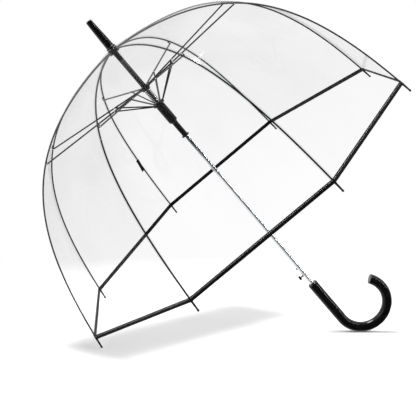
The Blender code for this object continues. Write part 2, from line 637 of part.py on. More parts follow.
def film_panel(values, to_crown):
    """The film over one rib at those values of t, a closed thin shell."""
    outer, inner = [], []
    if to_crown:
        for radius in (BORE_RADIUS + GAP, (CROWN_RADIUS + FILM) / math.cos(SECTOR / 2)):
            inner.append(film_section(radius, lift(CROWN_TOP) + GAP))
            outer.append(film_section(radius, lift(CROWN_TOP) + GAP + FILM))
    for t in values:
        point, slope = rib_point(t), rib_tangent(t)
        normal = Vector((-slope.y, slope.x))
        for rows, offset in ((inner, FILM_OFFSET), (outer, FILM_OFFSET + FILM)):
            place = point + normal * offset
            rows.append(film_section(place.x, lift(place.y)))
    bm = bmesh.new()
    skins = [[[bm.verts.new(p) for p in row] for row in rows] for rows in (inner, outer)]
    last = len(skins[0]) - 1
    for skin in skins:
        for i in range(last):
            for j in range(2):
                bm.faces.new((skin[i][j], skin[i + 1][j], skin[i + 1][j + 1], skin[i][j + 1]))
    low, high = skins
    for i in range(last):
        for j in (0, 2):
            bm.faces.new((low[i][j], low[i + 1][j], high[i + 1][j], high[i][j]))
    for i in (0, last):
        for j in range(2):
            bm.faces.new((low[i][j], low[i][j + 1], high[i][j + 1], high[i][j]))
    return bm


def make_film(stick):
    """Eight gores of clear film, each in two halves that meet at the knees' height."""
    make_ring("film_upper", film_panel(UPPER_STATIONS, True), CLEAR_FILM, in_plane(CROWN_PIVOT), stick)
    make_ring("film_lower", film_panel(LOWER_STATIONS, False), CLEAR_FILM, in_plane(KNEE), stick)


def make_strap(stick):
    """The tie strap, hanging down the outside of one rib's seam."""
    t = parameter_where(lambda point: point.y < STRAP_TOP)
    point, slope = rib_point(t), rib_tangent(t)
    normal = Vector((-slope.y, slope.x))
    start = point + normal * (FILM_OFFSET + FILM + 2 * GAP)
    down = (slope + Vector((STRAP_SPLAY, 0))).normalized()
    face = Vector((-down.y, down.x))
    corners = [start, start + down * STRAP_LENGTH]
    corners += [corners[1] + face * STRAP_THICKNESS, start + face * STRAP_THICKNESS]
    bm = plate([(p.x, lift(p.y)) for p in corners], STRAP_WIDTH)
    azimuth = rib_azimuth(STRAP_RIB)
    pivot = in_plane(KNEE)
    bmesh.ops.translate(bm, verts=bm.verts, vec=-pivot)
    strap = add_object("tie_strap", bm, BLACK_TAPE, stick)
    strap.location = Matrix.Rotation(azimuth, 3, "Z") @ pivot
    strap.rotation_euler = (0, 0, azimuth)


def main():
    stick = empty("grip_centre", (0, 0, 0))
    make_shaft(stick)
    make_crown(stick)
    make_spacer(stick)
    make_ferrule(stick)
    make_handle(stick)
    make_runner(stick)
    make_slider(stick)
    make_spring(stick)
    make_catch(stick)
    make_button(stick)
    make_latch_spring(stick)
    make_ribs(stick)
    make_links(stick)
    make_film(stick)
    make_strap(stick)


main()
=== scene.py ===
# %% [markdown]
# # A clear dome umbrella, open
# A straight chromed stick carries a crook handle below and a crown above. Eight thin ribs hinge in the crown, bend
# down over the dome and end in tips past the rim. A sprung runner pushes eight struts, and they push eight arms,
# which hold the ribs open. Clear film is welded over the ribs, and its rim is bound in black tape.
#
# The CAD frame gives the places and the joints. This lesson gives each piece its finished shape and its surface.
# All lengths are in metres, Z runs up the stick, and every piece is built where it stands when the umbrella is open.

# %% The frame
import math

import bmesh
import bpy
from mathutils import Matrix, Vector, noise


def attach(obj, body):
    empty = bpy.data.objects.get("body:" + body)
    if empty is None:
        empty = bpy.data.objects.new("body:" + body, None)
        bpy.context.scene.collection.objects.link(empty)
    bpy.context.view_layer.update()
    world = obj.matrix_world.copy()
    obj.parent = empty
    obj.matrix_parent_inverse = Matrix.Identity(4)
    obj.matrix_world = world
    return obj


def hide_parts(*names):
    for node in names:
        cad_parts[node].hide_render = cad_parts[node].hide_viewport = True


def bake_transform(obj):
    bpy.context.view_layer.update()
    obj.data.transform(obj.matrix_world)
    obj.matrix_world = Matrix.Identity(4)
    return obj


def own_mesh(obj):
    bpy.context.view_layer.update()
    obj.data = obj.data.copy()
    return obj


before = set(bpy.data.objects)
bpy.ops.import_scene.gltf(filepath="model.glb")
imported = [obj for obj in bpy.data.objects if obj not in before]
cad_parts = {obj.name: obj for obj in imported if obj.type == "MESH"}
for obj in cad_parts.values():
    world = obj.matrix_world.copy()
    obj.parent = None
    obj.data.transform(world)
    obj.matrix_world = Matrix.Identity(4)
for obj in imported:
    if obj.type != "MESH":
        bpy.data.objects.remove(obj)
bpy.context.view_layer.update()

# %% [markdown]
# ## Sizes
# The driving sizes are those of the CAD source. Heights in the source are over the plane of the rim's corners, and
# `lift` moves them to this frame, whose origin is in the middle of the handle's grip.

# %% Sizes shared with the CAD model
RIB_COUNT = 8
SECTOR = 2 * math.pi / RIB_COUNT
FIRST_RIB = SECTOR / 2
GRIP_MIDDLE = -0.30941
RIM_RADIUS, DOME_HEIGHT = 0.425, 0.404
CROWN_SLOPE, RIM_SLOPE = math.radians(4.5), math.radians(78.7)
CROWN_REACH, RIM_REACH = 0.279, 0.2645
PIVOT_RADIUS = 0.0092
ROD_RADIUS = 0.0016
KNEE_RADIUS, KNEE_SINK = 0.2635, 0.0019
LINK_PIVOT_RADIUS = 0.0115
SLIDER_HEIGHT, RUNNER_HEIGHT = 0.305, 0.261
STRUT_ON_ARM = 0.0735
LINK_SPACING, LINK_WIDTH, LINK_DEPTH = 0.0028, 0.0018, 0.0030
SHAFT_RADIUS, SHAFT_WALL = 0.0050, 0.0009
BORE_RADIUS = 0.0053
CROWN_TOP, CROWN_BOTTOM = 0.4082, 0.3972
TIP_LENGTH, TIP_RADIUS = 0.022, 0.0023
FILM_OFFSET = 0.0019


def lift(height):
    """A height over the rim's corners as a height in this frame."""
    return height - GRIP_MIDDLE


def rib_azimuth(k):
    """The angle of rib k about the stick."""
    return FIRST_RIB + k * SECTOR


def rib_point(t):
    """(radius, height) on a rib's centre line, from its pivot in the crown (0) to the rim's corner (1)."""
    start, end = Vector((PIVOT_RADIUS, DOME_HEIGHT)), Vector((RIM_RADIUS, 0))
    upper = start + CROWN_REACH * Vector((math.cos(CROWN_SLOPE), -math.sin(CROWN_SLOPE)))
    lower = end + RIM_REACH * Vector((-math.cos(RIM_SLOPE), math.sin(RIM_SLOPE)))
    s = 1 - t
    return s ** 3 * start + 3 * s * s * t * upper + 3 * s * t * t * lower + t ** 3 * end


def rib_slope(t):
    """The rib's direction at t, towards the rim."""
    step = 1e-4
    return (rib_point(min(t + step, 1)) - rib_point(max(t - step, 0))).normalized()


def rib_parameter(radius):
    """The t at which a rib is this far from the stick."""
    low, high = 0.0, 1.0
    for _ in range(50):
        middle = (low + high) / 2
        low, high = (middle, high) if rib_point(middle).x < radius else (low, middle)
    return low


def left_of(direction):
    """The flat direction turned a quarter turn anticlockwise."""
    return Vector((-direction.y, direction.x))


KNEE_T = rib_parameter(KNEE_RADIUS)
KNEE = rib_point(KNEE_T)
ARM_JOINT = KNEE - KNEE_SINK * left_of(rib_slope(KNEE_T))
SLIDER_PIVOT = Vector((LINK_PIVOT_RADIUS, SLIDER_HEIGHT))
RUNNER_PIVOT = Vector((LINK_PIVOT_RADIUS, RUNNER_HEIGHT))
STRUT_JOINT = SLIDER_PIVOT + (ARM_JOINT - SLIDER_PIVOT).normalized() * STRUT_ON_ARM
print("knee at", tuple(KNEE), "strut joint at", tuple(STRUT_JOINT))

# %% [markdown]
# ## The camera
# A long lens looks at the open dome from the side, a little from above, and is rolled so that the umbrella leans
# as it does when it is laid down on its rim and its crook. Its back vector comes from an azimuth and an elevation,
# and the roll turns its upright about that vector.

# %% Camera
TARGET = Vector((-0.0647, 0, 0.3328))
DISTANCE = 2.105
AZIMUTH, ELEVATION, ROLL = math.radians(4.6), math.radians(12.4), math.radians(40.9)

back = Vector((math.sin(AZIMUTH) * math.cos(ELEVATION), -math.cos(AZIMUTH) * math.cos(ELEVATION),
               math.sin(ELEVATION)))
level = Vector((math.cos(AZIMUTH), math.sin(AZIMUTH), 0))
upright = back.cross(level)
camera_up = math.cos(ROLL) * upright + math.sin(ROLL) * level
camera_right = camera_up.cross(back)
camera = bpy.data.objects.new("camera", bpy.data.cameras.new("camera"))
bpy.context.collection.objects.link(camera)
camera.matrix_world = Matrix.Translation(TARGET + back * DISTANCE) @ Matrix(
    (camera_right, camera_up, back)).transposed().to_4x4()
camera.data.lens = 85.47
bpy.context.scene.camera = camera
print("camera at", tuple(camera.location))

# %% [markdown]
# ## A helper for every node tree
# Floor, world, finishes and Geometry Nodes are all trees of nodes. `node` makes one node, sets its options, and
# then wires or sets its inputs, so each line below reads as one step of the tree.


# %% Node helpers
def node(tree, kind, wires=(), **settings):
    """A node with its settings, and each named input wired to an output or given a value."""
    made = tree.nodes.new(kind)
    for name, value in settings.items():
        setattr(made, name, value)
    for socket, source in dict(wires).items():
        if isinstance(source, bpy.types.NodeSocket):
            tree.links.new(source, made.inputs[socket])
        else:
            made.inputs[socket].default_value = source
    return made


def bare_tree(owner):
    """The owner's node tree, emptied."""
    owner.use_nodes = True
    owner.node_tree.nodes.clear()
    return owner.node_tree


def map_range(tree, value, taken, given, **settings):
    """The value, with the range taken stretched over the range given."""
    ranges = {"Value": value, "From Min": taken[0], "From Max": taken[1], "To Min": given[0], "To Max": given[1]}
    return node(tree, "ShaderNodeMapRange", ranges, **settings).outputs["Result"]


def mix_colour(tree, factor, first, second):
    """A colour mix; either side may be another node's output."""
    return node(tree, "ShaderNodeMix", {"Factor": factor, "A": first, "B": second},
                data_type="RGBA").outputs["Result"]


print("helpers ready")

# %% [markdown]
# ## Floor and light
# The umbrella lies on a pale studio floor. In this frame the stick is upright, so the floor leans: it passes under
# the lowest rim tip and under the crook, and falls away from the camera at a low angle. Round the object it is
# white paper that takes shadows, and further out it fades into the white of the room. Seen from below, it is left
# clear, so that it doesn't hide the object.
#
# Clear film shows itself only by what it reflects. The room is therefore brighter on one side than on the other,
# and soft panels stand in it. The camera sees none of these directly.

# %% Floor
FLOOR_VIEW = math.radians(6)
FLOOR_SIZE = 12.0
PAPER_EDGE, WHITE_EDGE = 0.55, 1.15

PAPER_WHITE = 0.94
LOW_RIB_AZIMUTH = math.radians(-157.5)
TIP_END_RADIUS, TIP_END_HEIGHT = 0.4293, 0.2878
CROOK_CENTRE, CROOK_OUTER_RADIUS = Vector((0.056, 0, -0.054)), 0.067

tip_end = Vector((TIP_END_RADIUS * math.cos(LOW_RIB_AZIMUTH), TIP_END_RADIUS * math.sin(LOW_RIB_AZIMUTH),
                  TIP_END_HEIGHT))
away = camera_up * math.sin(FLOOR_VIEW) - back * math.cos(FLOOR_VIEW)
floor_normal = camera_up
for _ in range(4):
    low_side = Vector((-floor_normal.x, 0, -floor_normal.z)).normalized()
    crook_low = CROOK_CENTRE + low_side * CROOK_OUTER_RADIUS
    floor_normal = away.cross(tip_end - crook_low).normalized()
    floor_normal = floor_normal if floor_normal.dot(camera_up) > 0 else -floor_normal
floor_middle = (tip_end + crook_low) / 2
print("floor normal", tuple(floor_normal), "crook foot", tuple(crook_low))

floor_material = bpy.data.materials.new("pale_floor")
tree = bare_tree(floor_material)
paper = node(tree, "ShaderNodeBsdfDiffuse", {"Color": (PAPER_WHITE, PAPER_WHITE, PAPER_WHITE, 1)})
white = node(tree, "ShaderNodeEmission")
clear = node(tree, "ShaderNodeBsdfTransparent")
place = node(tree, "ShaderNodeTexCoord")
side = node(tree, "ShaderNodeNewGeometry")
reach = node(tree, "ShaderNodeVectorMath", {0: place.outputs["Object"]}, operation="LENGTH")
fade = map_range(tree, reach.outputs["Value"], (PAPER_EDGE, WHITE_EDGE), (0, 1), interpolation_type="SMOOTHSTEP")
ground = node(tree, "ShaderNodeMixShader", {0: fade, 1: paper.outputs[0], 2: white.outputs[0]})
choice = node(tree, "ShaderNodeMixShader",
              {0: side.outputs["Backfacing"], 1: ground.outputs[0], 2: clear.outputs[0]})
node(tree, "ShaderNodeOutputMaterial", {"Surface": choice.outputs[0]})


def card(name, middle, facing, width, height, material):
    """A flat rectangle that looks along facing."""
    bm = bmesh.new()
    bmesh.ops.create_grid(bm, x_segments=1, y_segments=1, size=0.5)
    bmesh.ops.scale(bm, verts=bm.verts, vec=(width, height, 1))
    mesh = bpy.data.meshes.new(name)
    bm.to_mesh(mesh)
    bm.free()
    mesh.materials.append(material)
    made = bpy.data.objects.new(name, mesh)
    bpy.context.collection.objects.link(made)
    made.matrix_world = Matrix.Translation(middle) @ facing.to_track_quat("Z", "Y").to_matrix().to_4x4()
    return made


floor = card("floor", floor_middle, floor_normal, FLOOR_SIZE, FLOOR_SIZE, floor_material)
floor.visible_glossy = False

# %% [markdown]
# The room is a gradient along one direction, dim on the camera's side and bright behind the umbrella. What the
# camera itself sees of it is plain white. A Light Path node tells its rays from those that light the object.

# %% World
ROOM_DIM, ROOM_BRIGHT = 0.05, 1.20
ROOM_TURNS = (-0.50, 0.45)
BRIGHT_SIDE = (camera_up * 0.30 - camera_right * 0.40 - back * 0.85).normalized()

world = bpy.data.worlds.new("studio")
bpy.context.scene.world = world
tree = bare_tree(world)
way = node(tree, "ShaderNodeTexCoord")
facing = node(tree, "ShaderNodeVectorMath", {0: way.outputs["Generated"], 1: BRIGHT_SIDE}, operation="DOT_PRODUCT")
strength = map_range(tree, facing.outputs["Value"], ROOM_TURNS, (ROOM_DIM, ROOM_BRIGHT))
room = node(tree, "ShaderNodeBackground", {"Color": (1, 1, 1, 1), "Strength": strength})
backdrop = node(tree, "ShaderNodeBackground", {"Color": (1, 1, 1, 1)})
ray = node(tree, "ShaderNodeLightPath")
choice = node(tree, "ShaderNodeMixShader",
              {0: ray.outputs["Is Camera Ray"], 1: room.outputs[0], 2: backdrop.outputs[0]})
node(tree, "ShaderNodeOutputWorld", {"Surface": choice.outputs[0]})
print("world from", ROOM_DIM, "to", ROOM_BRIGHT)

# %% [markdown]
# A large soft lamp overhead makes the floor's shadow, and a narrow strip on each side draws a line of light on
# round black pieces. Two wide panels light the chromed tube alone, through light linking. The gap between them is
# the dark line along it.


# %% Lamps
def from_camera(across, up, towards):
    """A place given in the camera's own directions from the middle of the umbrella."""
    return TARGET + camera_right * across + camera_up * up + back * towards


def soft_panel(name, place, width, height, power):
    """A soft rectangular lamp aimed at the umbrella, its long side along the stick."""
    lamp = bpy.data.lights.new(name, "AREA")
    lamp.shape = "RECTANGLE"
    lamp.size, lamp.size_y = width, height
    lamp.energy = power
    holder = bpy.data.objects.new(name, lamp)
    bpy.context.collection.objects.link(holder)
    facing = (place - TARGET).normalized()
    upright = (Vector((0, 0, 1)) - facing * facing.z).normalized()
    holder.matrix_world = Matrix.Translation(place) @ Matrix(
        (upright.cross(facing), upright, facing)).transposed().to_4x4()
    holder.visible_camera = False
    return holder


OVERHEAD = from_camera(-0.5, 2.3, 0.4)
STRIP_WIDTH, STRIP_LENGTH = 0.05, 2.2
SHAFT_LAMP_REACH, SHAFT_LAMP_DROP, SHAFT_LAMP_HEIGHT = 1.0, 0.73, 1.4

soft_panel("overhead", OVERHEAD, 1.0, 1.0, 66)
soft_panel("right_strip", from_camera(2.13, 1.0, 0.86), STRIP_WIDTH, STRIP_LENGTH, 14)
soft_panel("left_strip", from_camera(-2.2, 0.6, 1.3), STRIP_WIDTH, STRIP_LENGTH, 8)
facing_camera = Vector((back.x, back.y, 0)).normalized()
shaft_only = bpy.data.collections.new("shaft_only")
for name, turn, width, power in (("shaft_wide", -50, 2.4, 6.6), ("shaft_narrow", 74, 1.0, 2.8)):
    aim = facing_camera * math.cos(math.radians(turn)) + level * math.sin(math.radians(turn))
    panel = soft_panel(name, TARGET + aim * SHAFT_LAMP_REACH - Vector((0, 0, SHAFT_LAMP_DROP)), width,
                       SHAFT_LAMP_HEIGHT, power)
    panel.light_linking.receiver_collection = shaft_only

# %% [markdown]
# The clear film is too thin to cast the soft shadow that lies under such a dome. A flag of black cloth over the
# floor casts it instead. It is hidden from the camera and from every reflection.

# %% Shadow flag
FLAG_CENTRE, FLAG_SIZE, FLAG_TURN, FLAG_HEIGHT = (0.16, 0.19), (0.18, 0.58), math.radians(-38), 0.20
MANY_SHEETS = 48

black_cloth = bpy.data.materials.new("black_cloth")
black_cloth.use_nodes = True
black_cloth.node_tree.nodes["Principled BSDF"].inputs["Base Color"].default_value = (0.01, 0.01, 0.01, 1)
floor_away = (away - floor_normal * away.dot(floor_normal)).normalized()
floor_right = floor_away.cross(floor_normal)
under = tip_end + floor_right * FLAG_CENTRE[0] + floor_away * FLAG_CENTRE[1]
lamp_way = OVERHEAD - under
under += lamp_way * FLAG_HEIGHT / lamp_way.dot(floor_normal)
flag = card("shadow_flag", under, floor_normal, *FLAG_SIZE, black_cloth)
flag_up = math.cos(FLAG_TURN) * floor_away - math.sin(FLAG_TURN) * floor_right
flag.matrix_world = Matrix.Translation(under) @ Matrix(
    (flag_up.cross(floor_normal), flag_up, floor_normal)).transposed().to_4x4()
flag.visible_camera = flag.visible_diffuse = flag.visible_glossy = flag.visible_transmission = False
bpy.context.scene.view_settings.view_transform = "Standard"
bpy.context.scene.cycles.transparent_max_bounces = MANY_SHEETS
print("flag at", tuple(under))

# %% [markdown]
# ## Making materials
# Each finish is one Principled shader whose roughness and bump come from noise in Object coordinates. A stretched
# noise gives drawn lines, and a fine even one gives the grain of plastic. `detailed` adds either, by its stretch.


# %% Material helpers
def finish(name, colour, roughness, metallic=0.0, **sockets):
    """A new material with one Principled shader."""
    made = bpy.data.materials.new(name)
    made.use_nodes = True
    shader = made.node_tree.nodes["Principled BSDF"]
    shader.inputs["Base Color"].default_value = (*colour, 1)
    shader.inputs["Roughness"].default_value = roughness
    shader.inputs["Metallic"].default_value = metallic
    for socket, value in sockets.items():
        shader.inputs[socket.replace("_", " ")].default_value = value
    return made


def noise_field(tree, scale, detail=3.0, stretch=(1, 1, 1)):
    """Noise over the object, drawn out along the axes whose stretch is small."""
    place = node(tree, "ShaderNodeTexCoord")
    mapping = node(tree, "ShaderNodeMapping", {"Vector": place.outputs["Object"], "Scale": stretch})
    return node(tree, "ShaderNodeTexNoise",
                {"Vector": mapping.outputs["Vector"], "Scale": scale, "Detail": detail}).outputs["Fac"]


def spread(tree, field, low, high):
    """The field's middle range as numbers from low to high."""
    return map_range(tree, field, (0.3, 0.7), (low, high))


def raise_by(tree, height, distance):
    """A bump from a height field; distance is its depth in metres."""
    return node(tree, "ShaderNodeBump", {"Height": height, "Distance": distance}).outputs["Normal"]


def detailed(material, dark, light, rough_low, rough_high, tone_scale, grain_scale, grain_depth,
             stretch=(1, 1, 1)):
    """Gives a finish its wandering colour, its uneven gloss and its grain."""
    tree = material.node_tree
    shader = tree.nodes["Principled BSDF"]
    tone = noise_field(tree, tone_scale, 4.0, stretch)
    wander = mix_colour(tree, spread(tree, tone, 0.0, 1.0), (*dark, 1), (*light, 1))
    tree.links.new(wander, shader.inputs["Base Color"])
    tree.links.new(spread(tree, tone, rough_low, rough_high), shader.inputs["Roughness"])
    fine = noise_field(tree, grain_scale, 2.0, stretch)
    tree.links.new(raise_by(tree, fine, grain_depth), shader.inputs["Normal"])
    return material


# %% [markdown]
# ## The hard finishes
# - Handle, ferrule and spacer tube are black plastic with a high gloss and faint moulding waves.
# - Crown, slider, runner and tips are black nylon: duller, with a fine moulded grain.
# - Catch and button are matt black, so they stay dark against the bright tube.
# - The stick is a chromed tube. Its lines were drawn lengthwise before plating.
# - Ribs are rods with a thin black coat, arms and struts are coated steel strip, and springs are blackened by heat.
# - Rivets and the snap are nickel plated.

# %% Hard finishes
GLOSS_BLACK = detailed(finish("gloss_black_plastic", (0.003, 0.003, 0.003), 0.10, Specular_IOR_Level=0.40),
                       (0.002, 0.002, 0.002), (0.004, 0.004, 0.004), 0.08, 0.12, 60, 90, 0.000008)
NYLON_BLACK = detailed(finish("moulded_black_nylon", (0.006, 0.006, 0.006), 0.32, Specular_IOR_Level=0.22),
                       (0.004, 0.004, 0.004), (0.010, 0.010, 0.011), 0.26, 0.40, 180, 1800, 0.00005)
MATT_BLACK = detailed(finish("matt_black_plastic", (0.004, 0.004, 0.004), 0.6, Specular_IOR_Level=0.1),
                      (0.002, 0.002, 0.002), (0.006, 0.006, 0.006), 0.5, 0.7, 160, 1700, 0.00004)
CHROME = detailed(finish("chrome_plated_tube", (0.80, 0.81, 0.83), 0.08, 1.0),
                  (0.74, 0.75, 0.78), (0.86, 0.87, 0.89), 0.05, 0.13, 260, 1500, 0.000015, (1, 1, 0.02))
ROD_BLACK = detailed(finish("coated_rib_rod", (0.005, 0.005, 0.005), 0.45, Specular_IOR_Level=0.12),
                     (0.002, 0.002, 0.002), (0.006, 0.006, 0.007), 0.38, 0.52, 220, 1600, 0.00003)
LINK_BLACK = detailed(finish("coated_link_steel", (0.007, 0.007, 0.008), 0.32, Specular_IOR_Level=0.35),
                      (0.005, 0.005, 0.005), (0.014, 0.014, 0.015), 0.26, 0.42, 240, 1500, 0.00004)
SPRING_BLACK = detailed(finish("blackened_spring_steel", (0.008, 0.008, 0.009), 0.34, Specular_IOR_Level=0.3),
                        (0.005, 0.005, 0.006), (0.014, 0.014, 0.015), 0.28, 0.42, 300, 1300, 0.00002)
NICKEL = detailed(finish("nickel_plate", (0.62, 0.60, 0.57), 0.22, 1.0),
                  (0.52, 0.50, 0.48), (0.68, 0.66, 0.63), 0.16, 0.32, 500, 1500, 0.00002)
print("hard finishes:", [m.name for m in bpy.data.materials])

# %% [markdown]
# ## Clear film
# The canopy is soft clear sheet, a little over a tenth of a millimetre thick. Light goes nearly straight through it,
# so the shader is a mix: mostly transparent, with a gloss that grows towards glancing angles, by a Layer Weight
# node's Facing. A Fresnel weight would turn the far side of a thin sheet into a mirror. Two noises darken what
# passes with painted grey, which stands in for the dim room reflected in the sheet: broad clouds, and thin wandering
# lines along the ribs, both strongest near the crown. Low ripples in the bump break up the reflections. Along each
# rib two sheets are welded over each other, so the weld is denser.


# %% Film material
# Painted reflection grey: how far the clouds and the wandering lines darken what passes through the film.
PAINTED_CLOUD_GREY, PAINTED_STREAK_GREY = 0.925, 0.960
CLOUD_SCALE, STREAK_SCALE, RIPPLE_SCALE = 7.0, 20.0, 6.0
ALONG_RIBS, ALONG_STREAKS = (1, 1, 0.6), (1, 1, 0.06)
PAINTED_GREY_HEIGHTS, RIM_PAINTED_GREY = (lift(0.02), lift(0.26)), 0.2
FILM_BODY, FILM_ROUGHNESS, FILM_IOR, GLANCE_BLEND = (0.10, 0.10, 0.10, 1), 0.07, 2.2, 0.06


def height_weighted(tree, field):
    """The field, faded from full near the crown to a fifth at the rim."""
    place = node(tree, "ShaderNodeTexCoord")
    parts = node(tree, "ShaderNodeSeparateXYZ", {0: place.outputs["Object"]})
    fade = map_range(tree, parts.outputs["Z"], PAINTED_GREY_HEIGHTS, (RIM_PAINTED_GREY, 1))
    return node(tree, "ShaderNodeMath", {0: field, 1: fade}, operation="MULTIPLY").outputs[0]


def narrow(tree, field):
    """One only along the field's middle value, which makes thin wandering lines."""
    ramp = node(tree, "ShaderNodeValToRGB", {0: field})
    for element, position in zip(ramp.color_ramp.elements, (0.47, 0.53)):
        element.position, element.color = position, (0, 0, 0, 1)
    ramp.color_ramp.elements.new(0.50).color = (1, 1, 1, 1)
    return ramp.outputs["Color"]


def film_finish(name, tint, glancing_gloss, facing_gloss, ripple):
    """See-through sheet: tint is what passes, and the two glosses are its shine seen edge on and square on."""
    made = bpy.data.materials.new(name)
    made.use_nodes = True
    tree = made.node_tree
    shader = tree.nodes["Principled BSDF"]
    for socket, value in (("Base Color", FILM_BODY), ("Roughness", FILM_ROUGHNESS), ("IOR", FILM_IOR),
                          ("Specular IOR Level", 1.0)):
        shader.inputs[socket].default_value = value
    # Painted reflection grey: clouds and thin lines darken what passes, strongest near the crown, in place of the dim
    # room reflected in the sheet.
    cloud = height_weighted(tree, spread(tree, noise_field(tree, CLOUD_SCALE, 2.0, ALONG_RIBS), 0.0, 1.0))
    streak = height_weighted(tree, narrow(tree, noise_field(tree, STREAK_SCALE, 0.0, ALONG_STREAKS)))
    painted_clouds = mix_colour(tree, cloud, (*tint, 1), (*(c * PAINTED_CLOUD_GREY for c in tint), 1))
    painted_streaks = mix_colour(tree, streak, painted_clouds, (*(c * PAINTED_STREAK_GREY for c in tint), 1))
    through = node(tree, "ShaderNodeBsdfTransparent", {"Color": painted_streaks})
    normal = raise_by(tree, noise_field(tree, RIPPLE_SCALE, 1.0, ALONG_RIBS), ripple)
    tree.links.new(normal, shader.inputs["Normal"])
    weight = node(tree, "ShaderNodeLayerWeight", {"Blend": GLANCE_BLEND, "Normal": normal})
    share = map_range(tree, weight.outputs["Facing"], (0, 1), (facing_gloss, glancing_gloss))
    mix = node(tree, "ShaderNodeMixShader", {0: share, 1: through.outputs[0], 2: shader.outputs[0]})
    tree.links.new(mix.outputs[0], tree.nodes["Material Output"].inputs["Surface"])
    return made


CLEAR_FILM = film_finish("clear_film_sheet", (0.996, 0.996, 0.997), 0.95, 0.010, 0.002)
FILM_WELD = film_finish("clear_film_weld", (0.86, 0.865, 0.87), 0.95, 0.03, 0.002)
print("film:", CLEAR_FILM.name, FILM_WELD.name)


# %% [markdown]
# ## Woven tape
# The rim's binding and the tie strap are woven. Two crossed waves on the piece's own UV map, which is in metres
# along and across the tape, raise the yarns, so the weave follows each run of tape round the rim.


# %% Tape material
WAVE_PER_YARN = 0.314


def woven(name, dark, light, yarn, depth):
    """Black cloth tape; yarn is one yarn's width in metres."""
    made = finish(name, dark, 0.80, Specular_IOR_Level=0.2)
    tree = made.node_tree
    shader = tree.nodes["Principled BSDF"]
    own = node(tree, "ShaderNodeUVMap", uv_map="tape")
    waves = [node(tree, "ShaderNodeTexWave", {"Vector": own.outputs[0], "Scale": WAVE_PER_YARN / yarn,
                                              "Distortion": 0.4}, bands_direction=direction).outputs["Fac"]
             for direction in ("X", "Y")]
    cross = node(tree, "ShaderNodeMath", dict(enumerate(waves)), operation="MULTIPLY")
    tree.links.new(mix_colour(tree, cross.outputs[0], (*dark, 1), (*light, 1)), shader.inputs["Base Color"])
    tree.links.new(raise_by(tree, cross.outputs[0], depth), shader.inputs["Normal"])
    return made


TAPE = woven("woven_rim_tape", (0.002, 0.002, 0.002), (0.009, 0.009, 0.010), 0.0006, 0.00015)
STRAP = woven("woven_tie_strap", (0.002, 0.002, 0.002), (0.010, 0.010, 0.011), 0.0008, 0.0002)
THREAD = detailed(finish("black_sewing_thread", (0.006, 0.006, 0.006), 0.7, Specular_IOR_Level=0.2),
                  (0.004, 0.004, 0.004), (0.016, 0.016, 0.017), 0.6, 0.8, 900, 2500, 0.00004)
print("cloth:", TAPE.name, STRAP.name, THREAD.name)


# %% [markdown]
# ## Building helpers
# Most pieces are made in one of three ways: a profile spun about the stick, an outline given a thickness, or a mesh
# built once beside rib zero and turned to each rib. `keep_piece` makes the finished mesh an object at the origin,
# rides it on its CAD body and hides the CAD node it stands for.


# %% Piece helpers
def keep_piece(name, mesh, body, node=None, angle=35):
    """The mesh as a finished piece on a body."""
    mesh.name = name
    mesh.shade_smooth()
    mesh.set_sharp_from_angle(angle=math.radians(angle))
    made = bpy.data.objects.new(name, mesh)
    bpy.context.collection.objects.link(made)
    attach(made, body)
    if node:
        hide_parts(node)
    return made


def to_mesh(bm, name, *materials, closed=True):
    """A bmesh as a mesh; a closed one gets its doubles merged and its faces turned out."""
    if closed:
        bmesh.ops.remove_doubles(bm, verts=bm.verts, dist=1e-7)
        bmesh.ops.recalc_face_normals(bm, faces=bm.faces)
    mesh = bpy.data.meshes.new(name)
    bm.to_mesh(mesh)
    bm.free()
    for material in materials:
        mesh.materials.append(material)
    return mesh


def turned_to(mesh, azimuth):
    """A copy of a mesh, turned about the stick."""
    copy = mesh.copy()
    copy.transform(Matrix.Rotation(azimuth, 4, "Z"))
    return copy


def rounded(outline, radius, steps=4):
    """A closed outline of (radius, height) corners with small arcs at its corners, less where an edge is short."""
    made = []
    for i, corner in enumerate(outline):
        here = Vector(corner)
        before, after = Vector(outline[i - 1]) - here, Vector(outline[(i + 1) % len(outline)]) - here
        reach = min(radius, before.length * 0.45, after.length * 0.45)
        if here.x < 1e-6 or reach < 1e-6:
            made.append(tuple(here))
            continue
        start, end = here + before.normalized() * reach, here + after.normalized() * reach
        for n in range(steps + 1):
            w = n / steps
            made.append(tuple((1 - w) ** 2 * start + 2 * w * (1 - w) * here + w * w * end))
    return made


def spun(outline, sides=64):
    """A closed outline of (radius, height) spun about the stick."""
    bm = bmesh.new()
    corners = [bm.verts.new((r, 0, z)) for r, z in outline]
    for one, two in zip(corners, corners[1:] + corners[:1]):
        if max(one.co.x, two.co.x) > 1e-7:
            bm.edges.new((one, two))
    bmesh.ops.spin(bm, geom=list(bm.verts) + list(bm.edges), cent=(0, 0, 0), axis=(0, 0, 1),
                   angle=2 * math.pi, steps=sides, use_merge=True)
    bmesh.ops.remove_doubles(bm, verts=bm.verts, dist=1e-7)
    bmesh.ops.dissolve_degenerate(bm, edges=bm.edges, dist=1e-8)
    return bm


def plate(outline, thickness, middle, bevel=0.0):
    """An outline of (x, z) points as a plate in a radial plane, with bevelled rims."""
    bm = bmesh.new()
    face = bm.faces.new([bm.verts.new((x, middle - thickness / 2, z)) for x, z in outline])
    grown = bmesh.ops.extrude_face_region(bm, geom=[face])
    moved = [v for v in grown["geom"] if isinstance(v, bmesh.types.BMVert)]
    bmesh.ops.translate(bm, verts=moved, vec=(0, thickness, 0))
    bmesh.ops.recalc_face_normals(bm, faces=bm.faces)
    if bevel:
        caps = [f for f in bm.faces if abs(f.normal.y) > 0.9]
        edges = {e for f in caps for e in f.edges}
        bmesh.ops.bevel(bm, geom=list(edges), offset=bevel, segments=2, affect="EDGES", profile=0.5)
    return bm


def block(low, high):
    """A plain box to cut with."""
    bm = bmesh.new()
    bmesh.ops.create_cube(bm, size=1.0)
    low, high = Vector(low), Vector(high)
    bmesh.ops.scale(bm, verts=bm.verts, vec=high - low)
    bmesh.ops.translate(bm, verts=bm.verts, vec=(high + low) / 2)
    return bm


